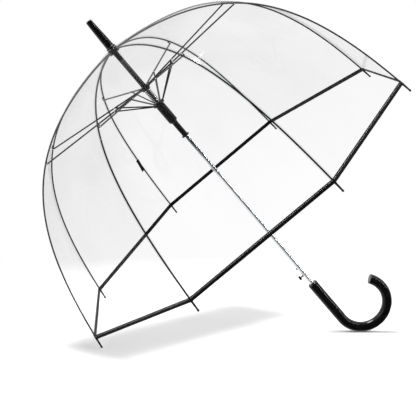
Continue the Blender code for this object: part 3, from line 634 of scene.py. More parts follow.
def add_mesh(bm, mesh, turn=None, material=None):
    """Adds a mesh to a bmesh, turned if asked, its faces all in one material slot if asked."""
    copy = mesh.copy()
    if turn is not None:
        copy.transform(turn)
    first = len(bm.faces)
    bm.from_mesh(copy)
    bm.faces.ensure_lookup_table()
    if material is not None:
        for face in bm.faces[first:]:
            face.material_index = material
    bpy.data.meshes.remove(copy)


def apply_modifiers(mesh, add):
    """The mesh after the modifiers that add puts on a passing object."""
    holder = bpy.data.objects.new("holder", mesh)
    bpy.context.collection.objects.link(holder)
    add(holder)
    result = bpy.data.meshes.new_from_object(holder.evaluated_get(bpy.context.evaluated_depsgraph_get()))
    bpy.data.objects.remove(holder)
    return result


def cut_away(mesh, cutter):
    """The mesh less the closed cutter."""
    tool = bpy.data.objects.new("cutter", cutter)
    bpy.context.collection.objects.link(tool)

    def add(holder):
        modifier = holder.modifiers.new("cut", "BOOLEAN")
        modifier.object = tool
        modifier.operation = "DIFFERENCE"
        modifier.solver = "EXACT"

    result = apply_modifiers(mesh, add)
    bpy.data.objects.remove(tool)
    return result


# %% [markdown]
# ## Geometry Nodes helpers
# A tree here has named inputs, builds its geometry from the mesh it is given, and ends by realizing its instances
# and setting one material. `grow` sets the inputs by their identifiers, evaluates the tree once and keeps a plain
# mesh, so no modifier is left on a piece.


# %% Tree helpers
def new_tree(name, sockets):
    """An empty tree with a geometry input, the given sockets and a geometry output."""
    tree = bpy.data.node_groups.new(name, "GeometryNodeTree")
    tree.interface.new_socket("Geometry", in_out="INPUT", socket_type="NodeSocketGeometry")
    for label, kind in sockets:
        tree.interface.new_socket(label, in_out="INPUT", socket_type=kind)
    tree.interface.new_socket("Material", in_out="INPUT", socket_type="NodeSocketMaterial")
    tree.interface.new_socket("Geometry", in_out="OUTPUT", socket_type="NodeSocketGeometry")
    return tree, tree.nodes.new("NodeGroupInput").outputs


def close_tree(tree, inputs, geometry):
    """Realizes the instances, sets the material and wires the output."""
    real = node(tree, "GeometryNodeRealizeInstances", {"Geometry": geometry})
    painted = node(tree, "GeometryNodeSetMaterial", {"Geometry": real.outputs[0], "Material": inputs["Material"]})
    node(tree, "NodeGroupOutput", {"Geometry": painted.outputs[0]})
    return tree


def grow(tree, base, **values):
    """The plain mesh that a tree makes of a base mesh."""
    def add(holder):
        modifier = holder.modifiers.new("grow", "NODES")
        modifier.node_group = tree
        for item in tree.interface.items_tree:
            if item.in_out == "INPUT" and item.name != "Geometry":
                modifier[item.identifier] = values[item.name.replace(" ", "_").lower()]

    return apply_modifiers(base, add)


def line_mesh(points):
    """A path as a mesh of loose edges, which Mesh to Curve can follow."""
    mesh = bpy.data.meshes.new("path")
    mesh.from_pydata([tuple(p) for p in points], [(i, i + 1) for i in range(len(points) - 1)], [])
    return mesh


# %% Tree: a round rod along a path
ROD_TREE, rod_in = new_tree("rod_along_path", [("Radius", "NodeSocketFloat"), ("Sides", "NodeSocketInt")])
path = node(ROD_TREE, "GeometryNodeMeshToCurve", {"Mesh": rod_in["Geometry"]})
ring = node(ROD_TREE, "GeometryNodeCurvePrimitiveCircle", {"Resolution": rod_in["Sides"], "Radius": rod_in["Radius"]})
rod = node(ROD_TREE, "GeometryNodeCurveToMesh",
           {"Curve": path.outputs[0], "Profile Curve": ring.outputs[0], "Fill Caps": True})
close_tree(ROD_TREE, rod_in, rod.outputs[0])

# %% Tree: a coil spring
COIL_TREE, coil_in = new_tree("coil_spring", [
    ("Turns", "NodeSocketFloat"), ("Radius", "NodeSocketFloat"), ("Height", "NodeSocketFloat"),
    ("Wire Radius", "NodeSocketFloat"), ("Foot", "NodeSocketVector")])
coil = node(COIL_TREE, "GeometryNodeCurveSpiral", {
    "Resolution": 40, "Rotations": coil_in["Turns"], "Start Radius": coil_in["Radius"],
    "End Radius": coil_in["Radius"], "Height": coil_in["Height"]})
ring = node(COIL_TREE, "GeometryNodeCurvePrimitiveCircle", {"Resolution": 10, "Radius": coil_in["Wire Radius"]})
wire = node(COIL_TREE, "GeometryNodeCurveToMesh",
            {"Curve": coil.outputs[0], "Profile Curve": ring.outputs[0], "Fill Caps": True})
placed = node(COIL_TREE, "GeometryNodeTransform", {"Geometry": wire.outputs[0], "Translation": coil_in["Foot"]})
close_tree(COIL_TREE, coil_in, placed.outputs[0])

# %% Tree: stitches along a seam
STITCH_TREE, stitch_in = new_tree("stitches_along_seam", [
    ("Spacing", "NodeSocketFloat"), ("Length", "NodeSocketFloat"), ("Thread Radius", "NodeSocketFloat")])
path = node(STITCH_TREE, "GeometryNodeMeshToCurve", {"Mesh": stitch_in["Geometry"]})
spots = node(STITCH_TREE, "GeometryNodeCurveToPoints",
             {"Curve": path.outputs[0], "Length": stitch_in["Spacing"]}, mode="LENGTH")
lie = node(STITCH_TREE, "FunctionNodeAlignRotationToVector", {"Vector": spots.outputs["Tangent"]}, axis="X")
shape = node(STITCH_TREE, "ShaderNodeCombineXYZ", {
    "X": stitch_in["Length"], "Y": stitch_in["Thread Radius"], "Z": stitch_in["Thread Radius"]})
bead = node(STITCH_TREE, "GeometryNodeMeshUVSphere", {"Segments": 6, "Rings": 4, "Radius": 1.0})
sewn = node(STITCH_TREE, "GeometryNodeInstanceOnPoints", {
    "Points": spots.outputs["Points"], "Instance": bead.outputs["Mesh"], "Rotation": lie.outputs[0],
    "Scale": shape.outputs[0]})
close_tree(STITCH_TREE, stitch_in, sewn.outputs[0])

# %% Tree: rivets through a link
RIVET_TREE, rivet_in = new_tree("rivets_at_points", [
    ("Shank Radius", "NodeSocketFloat"), ("Head Radius", "NodeSocketFloat"), ("Grip", "NodeSocketFloat")])
spots = node(RIVET_TREE, "GeometryNodeMeshToPoints", {"Mesh": rivet_in["Geometry"]})
shank = node(RIVET_TREE, "GeometryNodeMeshCylinder", {
    "Vertices": 12, "Radius": rivet_in["Shank Radius"], "Depth": rivet_in["Grip"]})
head = node(RIVET_TREE, "GeometryNodeMeshUVSphere", {"Segments": 12, "Rings": 8, "Radius": rivet_in["Head Radius"]})
half = node(RIVET_TREE, "ShaderNodeMath", {0: rivet_in["Grip"], 1: 0.5}, operation="MULTIPLY")
heads = [shank.outputs["Mesh"]]
for sign in (-1.0, 1.0):
    reach = node(RIVET_TREE, "ShaderNodeMath", {0: half.outputs[0], 1: sign}, operation="MULTIPLY")
    where = node(RIVET_TREE, "ShaderNodeCombineXYZ", {"Z": reach.outputs[0]})
    heads.append(node(RIVET_TREE, "GeometryNodeTransform", {
        "Geometry": head.outputs["Mesh"], "Translation": where.outputs[0], "Scale": (1.0, 1.0, 0.45)}).outputs[0])
whole = RIVET_TREE.nodes.new("GeometryNodeJoinGeometry")
for part in heads:
    RIVET_TREE.links.new(part, whole.inputs[0])
set_in = node(RIVET_TREE, "GeometryNodeInstanceOnPoints", {
    "Points": spots.outputs["Points"], "Instance": whole.outputs[0], "Rotation": (math.pi / 2, 0.0, 0.0)})
close_tree(RIVET_TREE, rivet_in, set_in.outputs[0])
print("trees:", [t.name for t in bpy.data.node_groups])

# %% [markdown]
# ## The shaft
# A steel tube of ten millimetres, chromed. Its side facing away from the crook has a slot for the catch and a hole
# for the button's stem. The tube is a grid of faces round the stick with those faces left out, and Solidify gives
# the wall, so the openings show the wall's thickness without any cutting.

# %% Shaft
CATCH_FLAT, BUTTON_HEIGHT = lift(-0.21041), lift(-0.22891)
SHAFT_BOTTOM, SHAFT_TOP = lift(-0.31541), lift(0.4470)
GAP = 0.0003
CATCH_SLOT = (CATCH_FLAT - GAP, CATCH_FLAT + 0.0088)
STEM_CLEARANCE = 0.0018
STEM_HOLE = (BUTTON_HEIGHT - STEM_CLEARANCE, BUTTON_HEIGHT + STEM_CLEARANCE)
SHAFT_SIDES = 96
CATCH_SLOT_SIDES, STEM_HOLE_SIDES = 4, 5
RING_SPACING = 0.03


def shaft_mesh():
    """The tube, less the faces where the catch and the button's stem come through."""
    levels = [SHAFT_BOTTOM, *STEM_HOLE, *CATCH_SLOT, SHAFT_TOP]
    levels = sorted(levels + [SHAFT_BOTTOM + RING_SPACING * n for n in range(1, 26)])
    bm = bmesh.new()
    rings = [[bm.verts.new((SHAFT_RADIUS * math.cos(2 * math.pi * n / SHAFT_SIDES),
                            SHAFT_RADIUS * math.sin(2 * math.pi * n / SHAFT_SIDES), z))
              for n in range(SHAFT_SIDES)] for z in levels]
    openings = ((CATCH_SLOT, CATCH_SLOT_SIDES), (STEM_HOLE, STEM_HOLE_SIDES))
    for low, high, one, two in zip(levels, levels[1:], rings, rings[1:]):
        for n in range(SHAFT_SIDES):
            off_back = abs(n + 0.5 - SHAFT_SIDES / 2)
            if any(span[0] <= (low + high) / 2 <= span[1] and off_back < half for span, half in openings):
                continue
            after = (n + 1) % SHAFT_SIDES
            bm.faces.new((one[n], one[after], two[after], two[n]))

    def add(holder):
        wall = holder.modifiers.new("wall", "SOLIDIFY")
        wall.thickness = SHAFT_WALL
        wall.offset = -1

    return apply_modifiers(to_mesh(bm, "shaft", CHROME), add)


shaft = keep_piece("chromed_shaft", shaft_mesh(), "stick", "shaft", 50)
shaft_only.objects.link(shaft)
print("shaft faces", len(shaft.data.polygons))

# %% [markdown]
# ## Crown, spacer and ferrule
# The crown is a nylon disc with a slot for each rib, held on the stick by the ferrule above and a black spacer tube
# below. A wire runs round inside it through the ribs' eyes. The ferrule is the long tapered point that stands on
# the dome; its collar clamps the film on the crown. Turned parts are spun from a profile with rounded corners.

# %% Crown, spacer and ferrule
CROWN_RADIUS = 0.0118
SLOT_HALF = 0.0020
CUT_OUT_TO = 0.03
RING_WIRE = 0.00035


def slot_cutter(inner, low, high, side_low, side_high):
    """One box per rib, from inner outwards past every rim, joined in one mesh."""
    bm = bmesh.new()
    for k in range(RIB_COUNT):
        one = to_mesh(block((inner, side_low, low), (CUT_OUT_TO, side_high, high)), "slot")
        add_mesh(bm, one, Matrix.Rotation(rib_azimuth(k), 4, "Z"))
    return to_mesh(bm, "slots")


def ring_wire(name, radius, height, body):
    """A thin closed wire round the stick."""
    outline = [(radius + RING_WIRE * math.cos(2 * math.pi * n / 10),
                height + RING_WIRE * math.sin(2 * math.pi * n / 10)) for n in range(10)]
    keep_piece(name, to_mesh(spun(outline), name, SPRING_BLACK), body, None)


low, high = lift(CROWN_BOTTOM), lift(CROWN_TOP)
crown_outline = rounded([
    (CROWN_RADIUS, low), (CROWN_RADIUS, high - 0.0042), (CROWN_RADIUS - 0.0004, high - 0.0036),
    (CROWN_RADIUS - 0.0004, high), (BORE_RADIUS, high), (BORE_RADIUS, low)], 0.0007)
crown_mesh = cut_away(
    to_mesh(spun(crown_outline), "crown", NYLON_BLACK),
    slot_cutter(PIVOT_RADIUS - SLOT_HALF, low - 0.001, lift(DOME_HEIGHT) + SLOT_HALF, -SLOT_HALF, SLOT_HALF))
keep_piece("slotted_crown", crown_mesh, "stick", "crown")
ring_wire("crown_wire", PIVOT_RADIUS, lift(DOME_HEIGHT), "stick")
print("crown from", low, "to", high)

SPACER_RADIUS, SPACER_WAIST = 0.0061, 0.0057
low, high = lift(SLIDER_HEIGHT + 0.0030) + GAP, lift(CROWN_BOTTOM) - GAP
spacer_outline = rounded([
    (SPACER_RADIUS, low), (SPACER_RADIUS, low + 0.0035), (SPACER_WAIST, low + 0.0040),
    (SPACER_WAIST, high - 0.0040), (SPACER_RADIUS, high - 0.0035), (SPACER_RADIUS, high),
    (BORE_RADIUS, high), (BORE_RADIUS, low)], 0.0003)
keep_piece("spacer_sleeve", to_mesh(spun(spacer_outline), "spacer", GLOSS_BLACK), "stick", "spacer_tube")

FERRULE_LENGTH = 0.072
low = lift(0.4090)
high, ceiling = low + FERRULE_LENGTH, SHAFT_TOP + GAP
ferrule_outline = rounded([
    (0.0108, low), (0.0108, low + 0.0035), (0.0090, low + 0.0042), (0.0088, low + 0.0060), (0.0088, low + 0.0150),
    (0.0084, low + 0.0158), (0.0084, low + 0.0164), (0.0087, low + 0.0172), (0.0070, high - 0.0100),
    (0.0066, high - 0.0020), (0.0050, high), (0, high), (0, ceiling), (BORE_RADIUS, ceiling), (BORE_RADIUS, low)],
    0.0012)
keep_piece("tapered_ferrule", to_mesh(spun(ferrule_outline), "ferrule", GLOSS_BLACK), "stick", "ferrule")
print("ferrule from", low, "to", high)

# %% [markdown]
# ## The crook handle
# The handle is moulded in two halves of glossy black plastic: a straight grip, then a half turn and a bit more of
# crook, cut off square. A ring of points is swept along that line. The two mould halves leave a fine groove along
# the outside and the inside of the bend, and both ends have softened rims.

# %% Handle
GRIP_LENGTH, CROOK_RADIUS, CROOK_SWEEP, HANDLE_RADIUS = 0.108, 0.056, math.radians(215), 0.0110
HANDLE_SIDES = 72
HANDLE_STEPS = 130
MOULD_LINE, END_SOFTNESS = 0.00012, 0.0014
HOLE_TOP = 0.08


def crook_point(s):
    """Place and outward direction on the handle's centre line, s metres from its top."""
    if s <= GRIP_LENGTH:
        return Vector((0, 0, GRIP_LENGTH / 2 - s)), Vector((-1, 0, 0))
    a = math.pi + (s - GRIP_LENGTH) / CROOK_RADIUS
    outward = Vector((math.cos(a), 0, math.sin(a)))
    return Vector((CROOK_RADIUS, 0, -GRIP_LENGTH / 2)) + CROOK_RADIUS * outward, outward


def handle_mesh():
    """The crook: rings swept along the centre line, with a mould line inside and outside the bend."""
    length = GRIP_LENGTH + CROOK_RADIUS * CROOK_SWEEP
    soft = END_SOFTNESS
    ends = [(soft * (1 - math.cos(math.pi / 2 * n / 4)), soft * (1 - math.sin(math.pi / 2 * n / 4)))
            for n in range(5)]
    middle = [(soft + (length - 2 * soft) * n / HANDLE_STEPS, 0.0) for n in range(1, HANDLE_STEPS)]
    sections = ends + middle + [(length - s, inset) for s, inset in reversed(ends)]
    bm = bmesh.new()
    rings = []
    for s, inset in sections:
        centre, outward = crook_point(s)
        ring = []
        for n in range(HANDLE_SIDES):
            a = 2 * math.pi * n / HANDLE_SIDES
            groove = MOULD_LINE if n % (HANDLE_SIDES // 2) == 0 else 0.0
            ring.append(bm.verts.new(centre + (HANDLE_RADIUS - inset - groove) * (
                math.cos(a) * outward + math.sin(a) * Vector((0, 1, 0)))))
        rings.append(ring)
    for one, two in zip(rings, rings[1:]):
        for n in range(HANDLE_SIDES):
            bm.faces.new((one[n], one[(n + 1) % HANDLE_SIDES], two[(n + 1) % HANDLE_SIDES], two[n]))
    bm.faces.new(rings[0])
    bm.faces.new(rings[-1])
    return to_mesh(bm, "handle", GLOSS_BLACK)


hole = to_mesh(spun([(BORE_RADIUS, HOLE_TOP), (0, HOLE_TOP), (0, SHAFT_BOTTOM - GAP),
                     (BORE_RADIUS, SHAFT_BOTTOM - GAP)]), "hole")
handle = keep_piece("crook_handle", cut_away(handle_mesh(), hole), "stick", "handle", 32)
print("handle faces", len(handle.data.polygons))

# %% [markdown]
# ## Slider and runner
# The slider is the flange that carries the arms and stops against the spacer tube. The runner has a flange for the
# struts, a wide housing for the spring, and a narrow sleeve whose window drops over the catch. Each flange has a
# slot for every link and a wire that holds their feet. A shallow groove marks the housing off from its flange.

# %% Slider
SLIDER_Z, RUNNER_Z = lift(SLIDER_HEIGHT), lift(RUNNER_HEIGHT)
slider_outline = rounded([
    (0.0136, SLIDER_Z - 0.0030), (0.0136, SLIDER_Z - 0.0010), (0.0130, SLIDER_Z - 0.0004),
    (0.0130, SLIDER_Z + 0.0004), (0.0136, SLIDER_Z + 0.0010), (0.0136, SLIDER_Z + 0.0030),
    (BORE_RADIUS, SLIDER_Z + 0.0030), (BORE_RADIUS, SLIDER_Z - 0.0070), (0.0092, SLIDER_Z - 0.0070),
    (0.0092, SLIDER_Z - 0.0030)], 0.0006)
slots = slot_cutter(0.0096, SLIDER_Z - 0.006, SLIDER_Z + 0.006, -0.0013, 0.0041)
keep_piece("arm_slider", cut_away(to_mesh(spun(slider_outline), "slider", NYLON_BLACK), slots), "upper_slider",
           "upper_slider")
ring_wire("slider_wire", LINK_PIVOT_RADIUS, SLIDER_Z, "upper_slider")
print("slider at", SLIDER_Z)

# %% Runner
HOUSING, SLEEVE, FLANGE = 0.0485, 0.0365, 0.0032
HOUSING_FLOOR = 0.0012
STEP_Z = RUNNER_Z - HOUSING
FOOT_Z = STEP_Z - SLEEVE - FLANGE
runner_outline = rounded([
    (0.0132, RUNNER_Z - 0.0031), (0.0132, RUNNER_Z - 0.0010), (0.0126, RUNNER_Z - 0.0004),
    (0.0126, RUNNER_Z + 0.0004), (0.0132, RUNNER_Z + 0.0010), (0.0132, RUNNER_Z + 0.0031),
    (0.0078, RUNNER_Z + 0.0031), (0.0078, STEP_Z + HOUSING_FLOOR), (BORE_RADIUS, STEP_Z + HOUSING_FLOOR),
    (BORE_RADIUS, FOOT_Z), (0.0086, FOOT_Z), (0.0086, FOOT_Z + FLANGE), (0.0063, FOOT_Z + FLANGE + 0.0004),
    (0.0060, FOOT_Z + FLANGE + 0.0020), (0.0060, STEP_Z - 0.0030), (0.0066, STEP_Z - 0.0018), (0.0083, STEP_Z),
    (0.0098, STEP_Z + 0.0016),
    (0.0098, RUNNER_Z - 0.0060), (0.0094, RUNNER_Z - 0.0055), (0.0094, RUNNER_Z - 0.0048),
    (0.0098, RUNNER_Z - 0.0043), (0.0098, RUNNER_Z - 0.0031)], 0.0007)
runner_mesh = cut_away(to_mesh(spun(runner_outline, 96), "runner", NYLON_BLACK),
                       slot_cutter(0.0099, RUNNER_Z - 0.006, RUNNER_Z + 0.006, -0.0013, 0.0013))
WINDOW_HALF, WINDOW_LOW, WINDOW_HIGH = 0.0017, FOOT_Z + 0.0052, FOOT_Z + 0.0167
window = to_mesh(block((-0.02, -WINDOW_HALF, WINDOW_LOW), (-0.0025, WINDOW_HALF, WINDOW_HIGH)), "window")
runner_mesh = cut_away(runner_mesh, window)
keep_piece("sprung_runner", runner_mesh, "runner", "runner")
ring_wire("runner_wire", LINK_PIVOT_RADIUS, RUNNER_Z, "runner")
print("runner from", FOOT_Z, "to", RUNNER_Z)

# %% [markdown]
# ## The opening spring
# A coil of blackened wire stands in the runner's housing and pushes the slider up. A spiral with equal radii is a
# helix, and a small circle swept along it is the wire.

# %% Spring
SPRING_TURNS, SPRING_RADIUS, SPRING_WIRE = 22.0, 0.0065, 0.0009
SPRING_SEAT, SLIDER_HUB = 0.0012, 0.0070
SPRING_FOOT = STEP_Z + HOUSING_FLOOR + SPRING_SEAT
SPRING_TOP = SLIDER_Z - SLIDER_HUB - SPRING_SEAT
spring_mesh = grow(COIL_TREE, bpy.data.meshes.new("empty"), turns=SPRING_TURNS,
                   radius=SPRING_RADIUS, height=SPRING_TOP - SPRING_FOOT, wire_radius=SPRING_WIRE,
                   foot=(0.0, 0.0, SPRING_FOOT), material=SPRING_BLACK)
spring = bpy.data.objects.new("opening_spring", spring_mesh)
bpy.context.collection.objects.link(spring)
spring_mesh.shade_smooth()
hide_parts("main_spring")
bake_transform(spring)
print("spring", len(spring_mesh.polygons), "faces,", round(SPRING_TOP - SPRING_FOOT, 4), "m high")

# %% [markdown]
# ## Catch and button
# The catch is a small steel nose, square below and sloped above, that pops out under the runner when the umbrella
# is shut. The square button beside the handle pulls it in. Both stand on a leaf spring inside the tube. They are
# plates and a stepped block with bevelled rims, since nothing here is round but the stem.

# %% Catch, button and leaf spring
inner = SHAFT_RADIUS - SHAFT_WALL
root_out, root_in = -(inner - 0.0006), -(inner - 0.0022)
catch_outline = [
    (root_in, CATCH_FLAT - 0.0028), (root_in, CATCH_FLAT + 0.0113), (root_out, CATCH_FLAT + 0.0113),
    (root_out, CATCH_FLAT + 0.0085), (-0.0058, CATCH_FLAT + 0.0045), (-0.0070, CATCH_FLAT + 0.0014),
    (-0.0070, CATCH_FLAT), (root_out, CATCH_FLAT), (root_out, CATCH_FLAT - 0.0028)]
keep_piece("catch_nose", to_mesh(plate(catch_outline, 0.0022, 0.0, 0.0003), "catch", MATT_BLACK), "bottom_catch",
           "bottom_catch")


def button_mesh():
    """A square button with a slightly hollow face, on a round stem."""
    bm = bmesh.new()
    face, backing, half = -0.0152, -0.0107, 0.0040
    sections = [(face + 0.0006, 0.0010), (face, half - 0.0012), (face + 0.0003, half - 0.0005),
                (face + 0.0010, half), (backing - 0.0004, half), (backing, half - 0.0004), (backing, 0.0015),
                (root_in + 0.0003, 0.0015)]
    corner = 6
    rings = []
    for x, size in sections:
        round_off = min(size, 0.0013)
        ring = []
        for quarter in range(4):
            turn = quarter * math.pi / 2
            centre = Matrix.Rotation(turn, 2) @ Vector((size - round_off, size - round_off))
            for n in range(corner + 1):
                a = turn + math.pi / 2 * n / corner
                ring.append(bm.verts.new((x, centre.x + round_off * math.cos(a),
                                          BUTTON_HEIGHT + centre.y + round_off * math.sin(a))))
        rings.append(ring)
    count = len(rings[0])
    for one, two in zip(rings, rings[1:]):
        for n in range(count):
            bm.faces.new((one[n], one[(n + 1) % count], two[(n + 1) % count], two[n]))
    bm.faces.new(rings[0])
    bm.faces.new(rings[-1])
    return to_mesh(bm, "button", MATT_BLACK)


keep_piece("release_button", button_mesh(), "push_button", "push_button")

leaf_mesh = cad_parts["latch_spring"].data.copy()
leaf_mesh.materials.clear()
leaf_mesh.materials.append(SPRING_BLACK)
leaf = keep_piece("leaf_spring", leaf_mesh, "stick", "latch_spring")
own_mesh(leaf)
print("catch flat at", CATCH_FLAT, "button at", BUTTON_HEIGHT)

# %% [markdown]
# ## Ribs
# A rib is a springy rod with an eye at its top. The model bends it at the knee, where its arm is riveted on, so
# each rib is two pieces that ride on two bodies. Rib zero's path is sampled from the rib curve, the rod tree makes
# it round, and turned copies make the other seven. The lower half ends in a moulded tip with a ball end, which
# holds the corner of the canopy.


# %% Rib helpers
def in_plane(point, side=0.0):
    """A (radius, height) point in the radial plane of azimuth zero."""
    return Vector((point.x, side, lift(point.y)))


def direction_in_plane(flat):
    """A (radius, height) direction in the same plane."""
    return Vector((flat.x, 0, flat.y))


def lathe_along(profile, start, along, sides=20):
    """A profile of (distance, radius) pairs spun about the line from start."""
    along = along.normalized()
    across = Vector((0, 1, 0))
    third = along.cross(across)
    bm = bmesh.new()
    rings = []
    for distance, radius in profile:
        centre = start + along * distance
        rings.append([bm.verts.new(centre + max(radius, 1e-5) * (
            math.cos(2 * math.pi * n / sides) * across + math.sin(2 * math.pi * n / sides) * third))
            for n in range(sides)])
    for one, two in zip(rings, rings[1:]):
        for n in range(sides):
            bm.faces.new((one[n], one[(n + 1) % sides], two[(n + 1) % sides], two[n]))
    bm.faces.new(rings[0])
    bm.faces.new(rings[-1])
    return bm


def radial_set(stem, mesh, body, node):
    """The same piece at each of the eight ribs."""
    for k in range(RIB_COUNT):
        keep_piece(f"{stem}_{k + 1}", turned_to(mesh, rib_azimuth(k)), f"{body}_{k + 1}",
                   f"{node}_{k + 1}" if node else None)


def joined(*meshes):
    """Several meshes as one, each keeping its own material."""
    bm = bmesh.new()
    materials = []
    for mesh in meshes:
        for material in mesh.materials:
            if material not in materials:
                materials.append(material)
    for mesh in meshes:
        add_mesh(bm, mesh, None, materials.index(mesh.materials[0]))
    result = bpy.data.meshes.new("joined")
    bm.to_mesh(result)
    bm.free()
    for material in materials:
        result.materials.append(material)
    return result


# %% Ribs
UPPER_STEPS, LOWER_STEPS, ROD_SIDES = 40, 50, 12
KNEE_TRIM = 0.0006
EYE_RADIUS, EYE_THICKNESS = 0.0018, 0.0030

upper_path = [in_plane(rib_point(KNEE_T * n / UPPER_STEPS)) for n in range(UPPER_STEPS + 1)]
upper_path[-1] = in_plane(rib_point(KNEE_T)) - (upper_path[-1] - upper_path[-2]).normalized() * KNEE_TRIM
upper_rod = grow(ROD_TREE, line_mesh(upper_path), radius=ROD_RADIUS, sides=ROD_SIDES, material=ROD_BLACK)
eye = to_mesh(plate([(PIVOT_RADIUS + EYE_RADIUS * math.cos(2 * math.pi * n / 16),
                      lift(DOME_HEIGHT) + EYE_RADIUS * math.sin(2 * math.pi * n / 16)) for n in range(16)],
                    EYE_THICKNESS, 0.0, 0.0003), "eye", ROD_BLACK)
radial_set("rib_rod_upper", joined(upper_rod, eye), "rib_upper", "rib_upper")

lower_path = [in_plane(rib_point(KNEE_T + (1 - KNEE_T) * n / LOWER_STEPS)) for n in range(LOWER_STEPS + 1)]
lower_path[0] = in_plane(KNEE) + (lower_path[1] - lower_path[0]).normalized() * KNEE_TRIM
lower_rod = grow(ROD_TREE, line_mesh(lower_path), radius=ROD_RADIUS, sides=ROD_SIDES, material=ROD_BLACK)
radial_set("rib_rod_lower", lower_rod, "rib_lower", "rib_lower")

rim_along = direction_in_plane(rib_slope(1.0))
tip_profile = [(-0.0050, 0.00165), (-0.0046, 0.0019), (-0.0006, 0.0021), (0.0, 0.0023), (0.0030, 0.0023),
               (0.0036, 0.0019), (0.0042, 0.0019), (0.0048, 0.0021), (0.0170, 0.00175), (0.0182, 0.0019),
               (0.0195, 0.0023), (0.0207, 0.0021), (0.0216, 0.0013), (0.0220, 0.0002)]
tip_mesh = to_mesh(lathe_along(tip_profile, in_plane(rib_point(1.0)), rim_along), "tip", NYLON_BLACK)
radial_set("rib_tip", tip_mesh, "rib_lower", None)

# %% [markdown]
# ## Arms, struts and knee clips
# Arms and struts are folded from thin strip into channels, with a flat eye at each end. The channel is drawn as a
# section and extended from eye to eye. A pressed clip sleeves each rib at the knee, and its ear takes the arm's
# rivet. Rivets come from one tree, which puts a shank and two domed heads at every point it is given.

# %% Links
RIVET_RADIUS, RIVET_HEAD = 0.0006, 0.0012
STRUT_DEPTH_SHARE = 0.86
STRIP_WALL, EAR_REACH = 0.00045, 0.0026


def channel_link(start, end, middle, depth, width, open_side):
    """A channel from start to end in the radial plane, with round flat ears."""
    along = (end - start).normalized()
    up = left_of(along) * open_side
    wall, reach = STRIP_WALL, EAR_REACH
    half, deep = width / 2, depth / 2
    section = [(-half, -deep), (half, -deep), (half, deep), (half - wall, deep), (half - wall, -deep + wall),
               (-half + wall, -deep + wall), (-half + wall, deep), (-half, deep)]
    bm = bmesh.new()
    rings = []
    for place in (start + along * reach, end - along * reach):
        rings.append([bm.verts.new(in_plane(place + up * h, middle + side)) for side, h in section])
    count = len(section)
    for n in range(count):
        bm.faces.new((rings[0][n], rings[0][(n + 1) % count], rings[1][(n + 1) % count], rings[1][n]))
    bm.faces.new(rings[0])
    bm.faces.new(rings[1])
    link = to_mesh(bm, "channel", LINK_BLACK)
    ears = []
    for centre, facing in ((start, along), (end, -along)):
        heading = math.atan2(facing.y, facing.x)
        outline = [(centre.x + deep * math.cos(heading + math.pi / 2 + math.pi * n / 10),
                    lift(centre.y) + deep * math.sin(heading + math.pi / 2 + math.pi * n / 10)) for n in range(11)]
        for side in (-deep, deep):
            corner = centre + facing * (reach + 0.0008) + left_of(facing) * side
            outline.append((corner.x, lift(corner.y)))
        ears.append(to_mesh(plate(outline, width, middle, 0.0002), "ear", LINK_BLACK))
    return joined(link, *ears)


def rivets(places, middle, grip):
    """Domed rivets through the given points of the radial plane."""
    spots = bpy.data.meshes.new("spots")
    spots.from_pydata([tuple(in_plane(p, middle)) for p in places], [], [])
    return grow(RIVET_TREE, spots, shank_radius=RIVET_RADIUS, head_radius=RIVET_HEAD, grip=grip, material=NICKEL)


arm_mesh = joined(channel_link(SLIDER_PIVOT, ARM_JOINT, LINK_SPACING, LINK_DEPTH, LINK_WIDTH, -1),
                  rivets([STRUT_JOINT], LINK_SPACING / 2, LINK_SPACING + LINK_WIDTH + 0.0002))
radial_set("channel_arm", arm_mesh, "arm", "arm")
strut_mesh = channel_link(RUNNER_PIVOT, STRUT_JOINT, 0.0, LINK_DEPTH * STRUT_DEPTH_SHARE, LINK_WIDTH, 1)
radial_set("channel_strut", strut_mesh, "strut", "strut")

# %% Knee clips
knee_along = rib_slope(KNEE_T)
CLIP_BORE, CLIP_OUTSIDE, CLIP_EAR = 0.00165, 0.00185, 0.0019
sleeve = lathe_along([(-0.0075, CLIP_BORE), (-0.0073, CLIP_OUTSIDE), (-0.0010, CLIP_OUTSIDE), (-0.0008, CLIP_BORE)],
                     in_plane(KNEE), direction_in_plane(knee_along), 16)
heading = math.atan2(knee_along.y, knee_along.x)
ear_outline = [(ARM_JOINT.x + CLIP_EAR * math.cos(heading - math.pi + math.pi * n / 10),
                lift(ARM_JOINT.y) + CLIP_EAR * math.sin(heading - math.pi + math.pi * n / 10)) for n in range(11)]
for along, over in ((CLIP_EAR, 0.0029), (-0.0072, 0.0031), (-0.0072, 0.0012), (-0.0030, 0.0002)):
    corner = ARM_JOINT + knee_along * along + left_of(knee_along) * over
    ear_outline.append((corner.x, lift(corner.y)))
ear = to_mesh(plate(ear_outline, 0.0005, LINK_SPACING + LINK_WIDTH / 2 + 0.00045, 0.00012), "ear", LINK_BLACK)
bridge_outline = []
for along, over in ((-0.0072, 0.0031), (-0.0072, 0.0036), (-0.0012, 0.0036), (-0.0012, 0.0031)):
    corner = ARM_JOINT + knee_along * along + left_of(knee_along) * over
    bridge_outline.append((corner.x, lift(corner.y)))
bridge = to_mesh(plate(bridge_outline, 0.0044, 0.0020, 0.0001), "bridge", LINK_BLACK)
clip_mesh = joined(to_mesh(sleeve, "sleeve", LINK_BLACK), ear, bridge,
                   rivets([ARM_JOINT], LINK_SPACING + 0.0001, LINK_WIDTH + 0.0016))
radial_set("knee_clip", clip_mesh, "rib_upper", None)
print("links and clips made")
